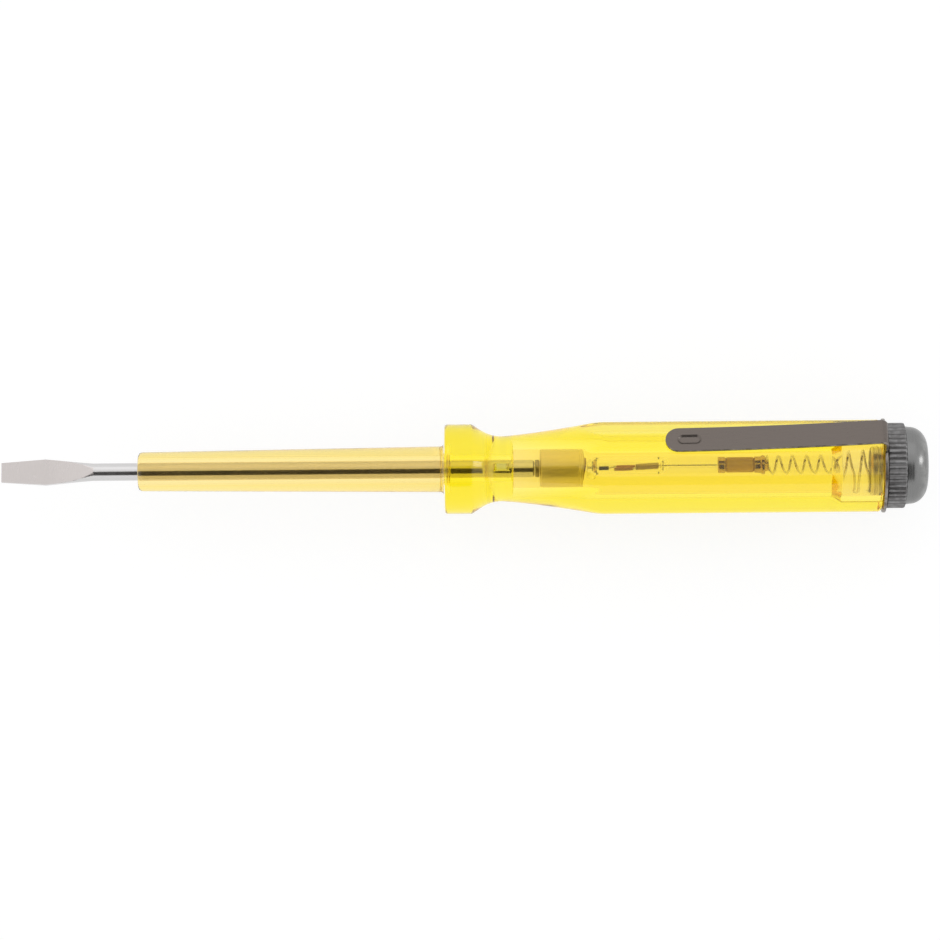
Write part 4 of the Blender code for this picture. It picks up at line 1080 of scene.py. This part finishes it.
def make_touch_contact():
    front, end = span("touch_contact")
    start = CAP_REAR + DOME_GAP
    side_end = start + DOME_SIDE
    outline = rounded([(front, 0.0), (front, DOME_SEAT), (start, DOME_SEAT)], DOME_EDGE, 2)
    outline += rounded([(start, DOME_SEAT), (start, DOME_BASE), (side_end, DOME_SHOULDER)], DOME_EDGE, 3)[1:-1]
    for i in range(DOME_STEPS + 1):
        run = pi / 2 * i / DOME_STEPS
        outline.append((side_end + (end - start - DOME_SIDE) * sin(run),
                        DOME_FACE + (DOME_SHOULDER - DOME_FACE) * cos(run)))
    obj = turned("touch_dome", outline + [(end, DOME_FACE * 0.5), (end, 0.0)], 128)
    radii = [hypot(vertex.co.y, vertex.co.z) for vertex in obj.data.vertices]
    set_wear(obj, [max(0.0, 1 - abs(radius - DOME_WORN_AT) / DOME_WORN_WIDTH) for radius in radii])
    return stands_for(obj, "cap", "touch_contact", TURNED_METAL)


dome = make_touch_contact()
print("dome:", len(dome.data.polygons), "faces")


# %% [markdown]
# The camera stands where the photographer's did: a long lens almost a metre away, looking down at the handle a
# little from its lower side, and rolled by half a degree.

# %% Camera
ELEVATION, ROLL, DISTANCE = radians(82), radians(0.485), 0.965
LOOK_AT, LOOK_BELOW = mm(96.20, 0.20)
to_camera = Vector((0.0, -cos(ELEVATION), sin(ELEVATION)))
image_up = Vector((0.0, sin(ELEVATION), cos(ELEVATION)))
look_at = Vector((LOOK_AT, 0.0, 0.0)) - image_up * LOOK_BELOW
camera = add_object("camera", bpy.data.cameras.new("camera"))
camera.data.lens, camera.data.sensor_width = 180.0, 36.0
turn = Matrix(((1.0, 0.0, 0.0), tuple(image_up), tuple(to_camera))).transposed().to_4x4()
camera.matrix_world = Matrix.Translation(look_at + to_camera * DISTANCE) @ turn @ Matrix.Rotation(-ROLL, 4, "Z")
bpy.context.scene.camera = camera
print("camera at", [round(v, 3) for v in camera.location])


# %% [markdown]
# The light is plain: a bright room all round, a weak wide lamp on the far side, and a small lamp beyond the cap whose
# reflection is the highlight on the dome. A dark card beside the camera draws the thin dark line along the polished
# shank. Only gloss and clear plastic see the card, so the line also shows inside the sleeve. The floor and the room
# are white to the eye, to gloss and through clear plastic, and the floor keeps a soft shadow. It lies just below the
# lowest place that the clip reaches as it swings round. Light crosses up to a dozen walls here, so the script allows
# more bounces than usual: a ray that runs out of them comes back black.

# %% Room and floor
CLIP_SWEEP = hypot(cad_high.z, CLIP_WIDTH / 2)
FLOOR_HEIGHT, FLOOR_COLOUR = -CLIP_SWEEP - 0.2 * MM, (0.22, 0.22, 0.22)
ROOM_LIGHT, WHITE = 0.75, (1.0, 1.0, 1.0, 1.0)


def ray_level(tree, levels, base):
    """A strength: the base, or the highest of the levels named for the kinds that a ray is of."""
    seen = tree.nodes.new("ShaderNodeLightPath").outputs
    return calc(tree, "MAXIMUM", base, *[calc(tree, "MULTIPLY", seen[ray], level) for ray, level in levels.items()])


def white_room():
    world = bpy.data.worlds.new("room")
    bpy.context.scene.world = world
    world.use_nodes = True
    back = world.node_tree.nodes["Background"].inputs
    back["Color"].default_value = WHITE
    levels = {"Is Camera Ray": 1.0, "Is Glossy Ray": 1.0, "Is Transmission Ray": 1.0}
    fill(world.node_tree, back["Strength"], ray_level(world.node_tree, levels, ROOM_LIGHT))


def sheet_at(name, centre, across, along, material):
    """A plain rectangle, given its centre and its two half sides."""
    shape = bmesh.new()
    centre, across, along = Vector(centre), Vector(across), Vector(along)
    corners = [centre - across - along, centre + across - along, centre + across + along, centre - across + along]
    shape.faces.new([shape.verts.new(corner) for corner in corners])
    obj = as_object(name, shape)
    obj.data.materials.append(material)
    return obj


def pale_floor():
    material, tree, shader = new_material("pale_floor", FLOOR_COLOUR, 0.9)
    shader["Specular IOR Level"].default_value = 0.0
    shader["Emission Color"].default_value = WHITE
    levels = {"Is Camera Ray": 0.84, "Is Glossy Ray": 0.80, "Is Transmission Ray": 0.88}
    fill(tree, shader["Emission Strength"], ray_level(tree, levels, 0.0))
    return sheet_at("floor", (0.1, 0.0, FLOOR_HEIGHT), (1.5, 0, 0), (0, 1.5, 0), material)


white_room()
pale_floor()
print("floor at", in_mm(FLOOR_HEIGHT), "mm")


# %% Lamps and card
CARD_ANGLE, CARD_AWAY, CARD_HALF, BOUNCES, GLOSS_BOUNCES = radians(27), 0.7, 0.34, 24, 16


def lamp(name, place, size, power, target):
    data = bpy.data.lights.new(name, "AREA")
    data.shape = "RECTANGLE"
    data.size, data.size_y = size
    data.energy = power
    obj = add_object(name, data)
    obj.location = place
    obj.rotation_euler = (Vector(target) - Vector(place)).to_track_quat("-Z", "Y").to_euler()


def dark_card():
    material = new_material("card_dark", (0.17, 0.165, 0.16), 0.9)[0]
    c, s = cos(CARD_ANGLE), sin(CARD_ANGLE)
    card = sheet_at("card", (0.15, -CARD_AWAY * s, CARD_AWAY * c), (0.30, 0, 0), (0, CARD_HALF * c, CARD_HALF * s),
                    material)
    card.visible_camera = card.visible_diffuse = False
    card.visible_shadow = card.visible_volume_scatter = False


lamp("far_side_lamp", (0.12, 0.60, 0.60), (1.0, 0.6), 0.35, (0.1, 0.0, 0.0))
lamp("lamp_past_cap", (0.65, 0.07, 0.185), (0.10, 0.22), 0.24, (0.188, 0.0, 0.007))
dark_card()
scene = bpy.context.scene
scene.view_settings.view_transform = "Standard"
scene.cycles.max_bounces = scene.cycles.transmission_bounces = BOUNCES
scene.cycles.glossy_bounces = GLOSS_BOUNCES
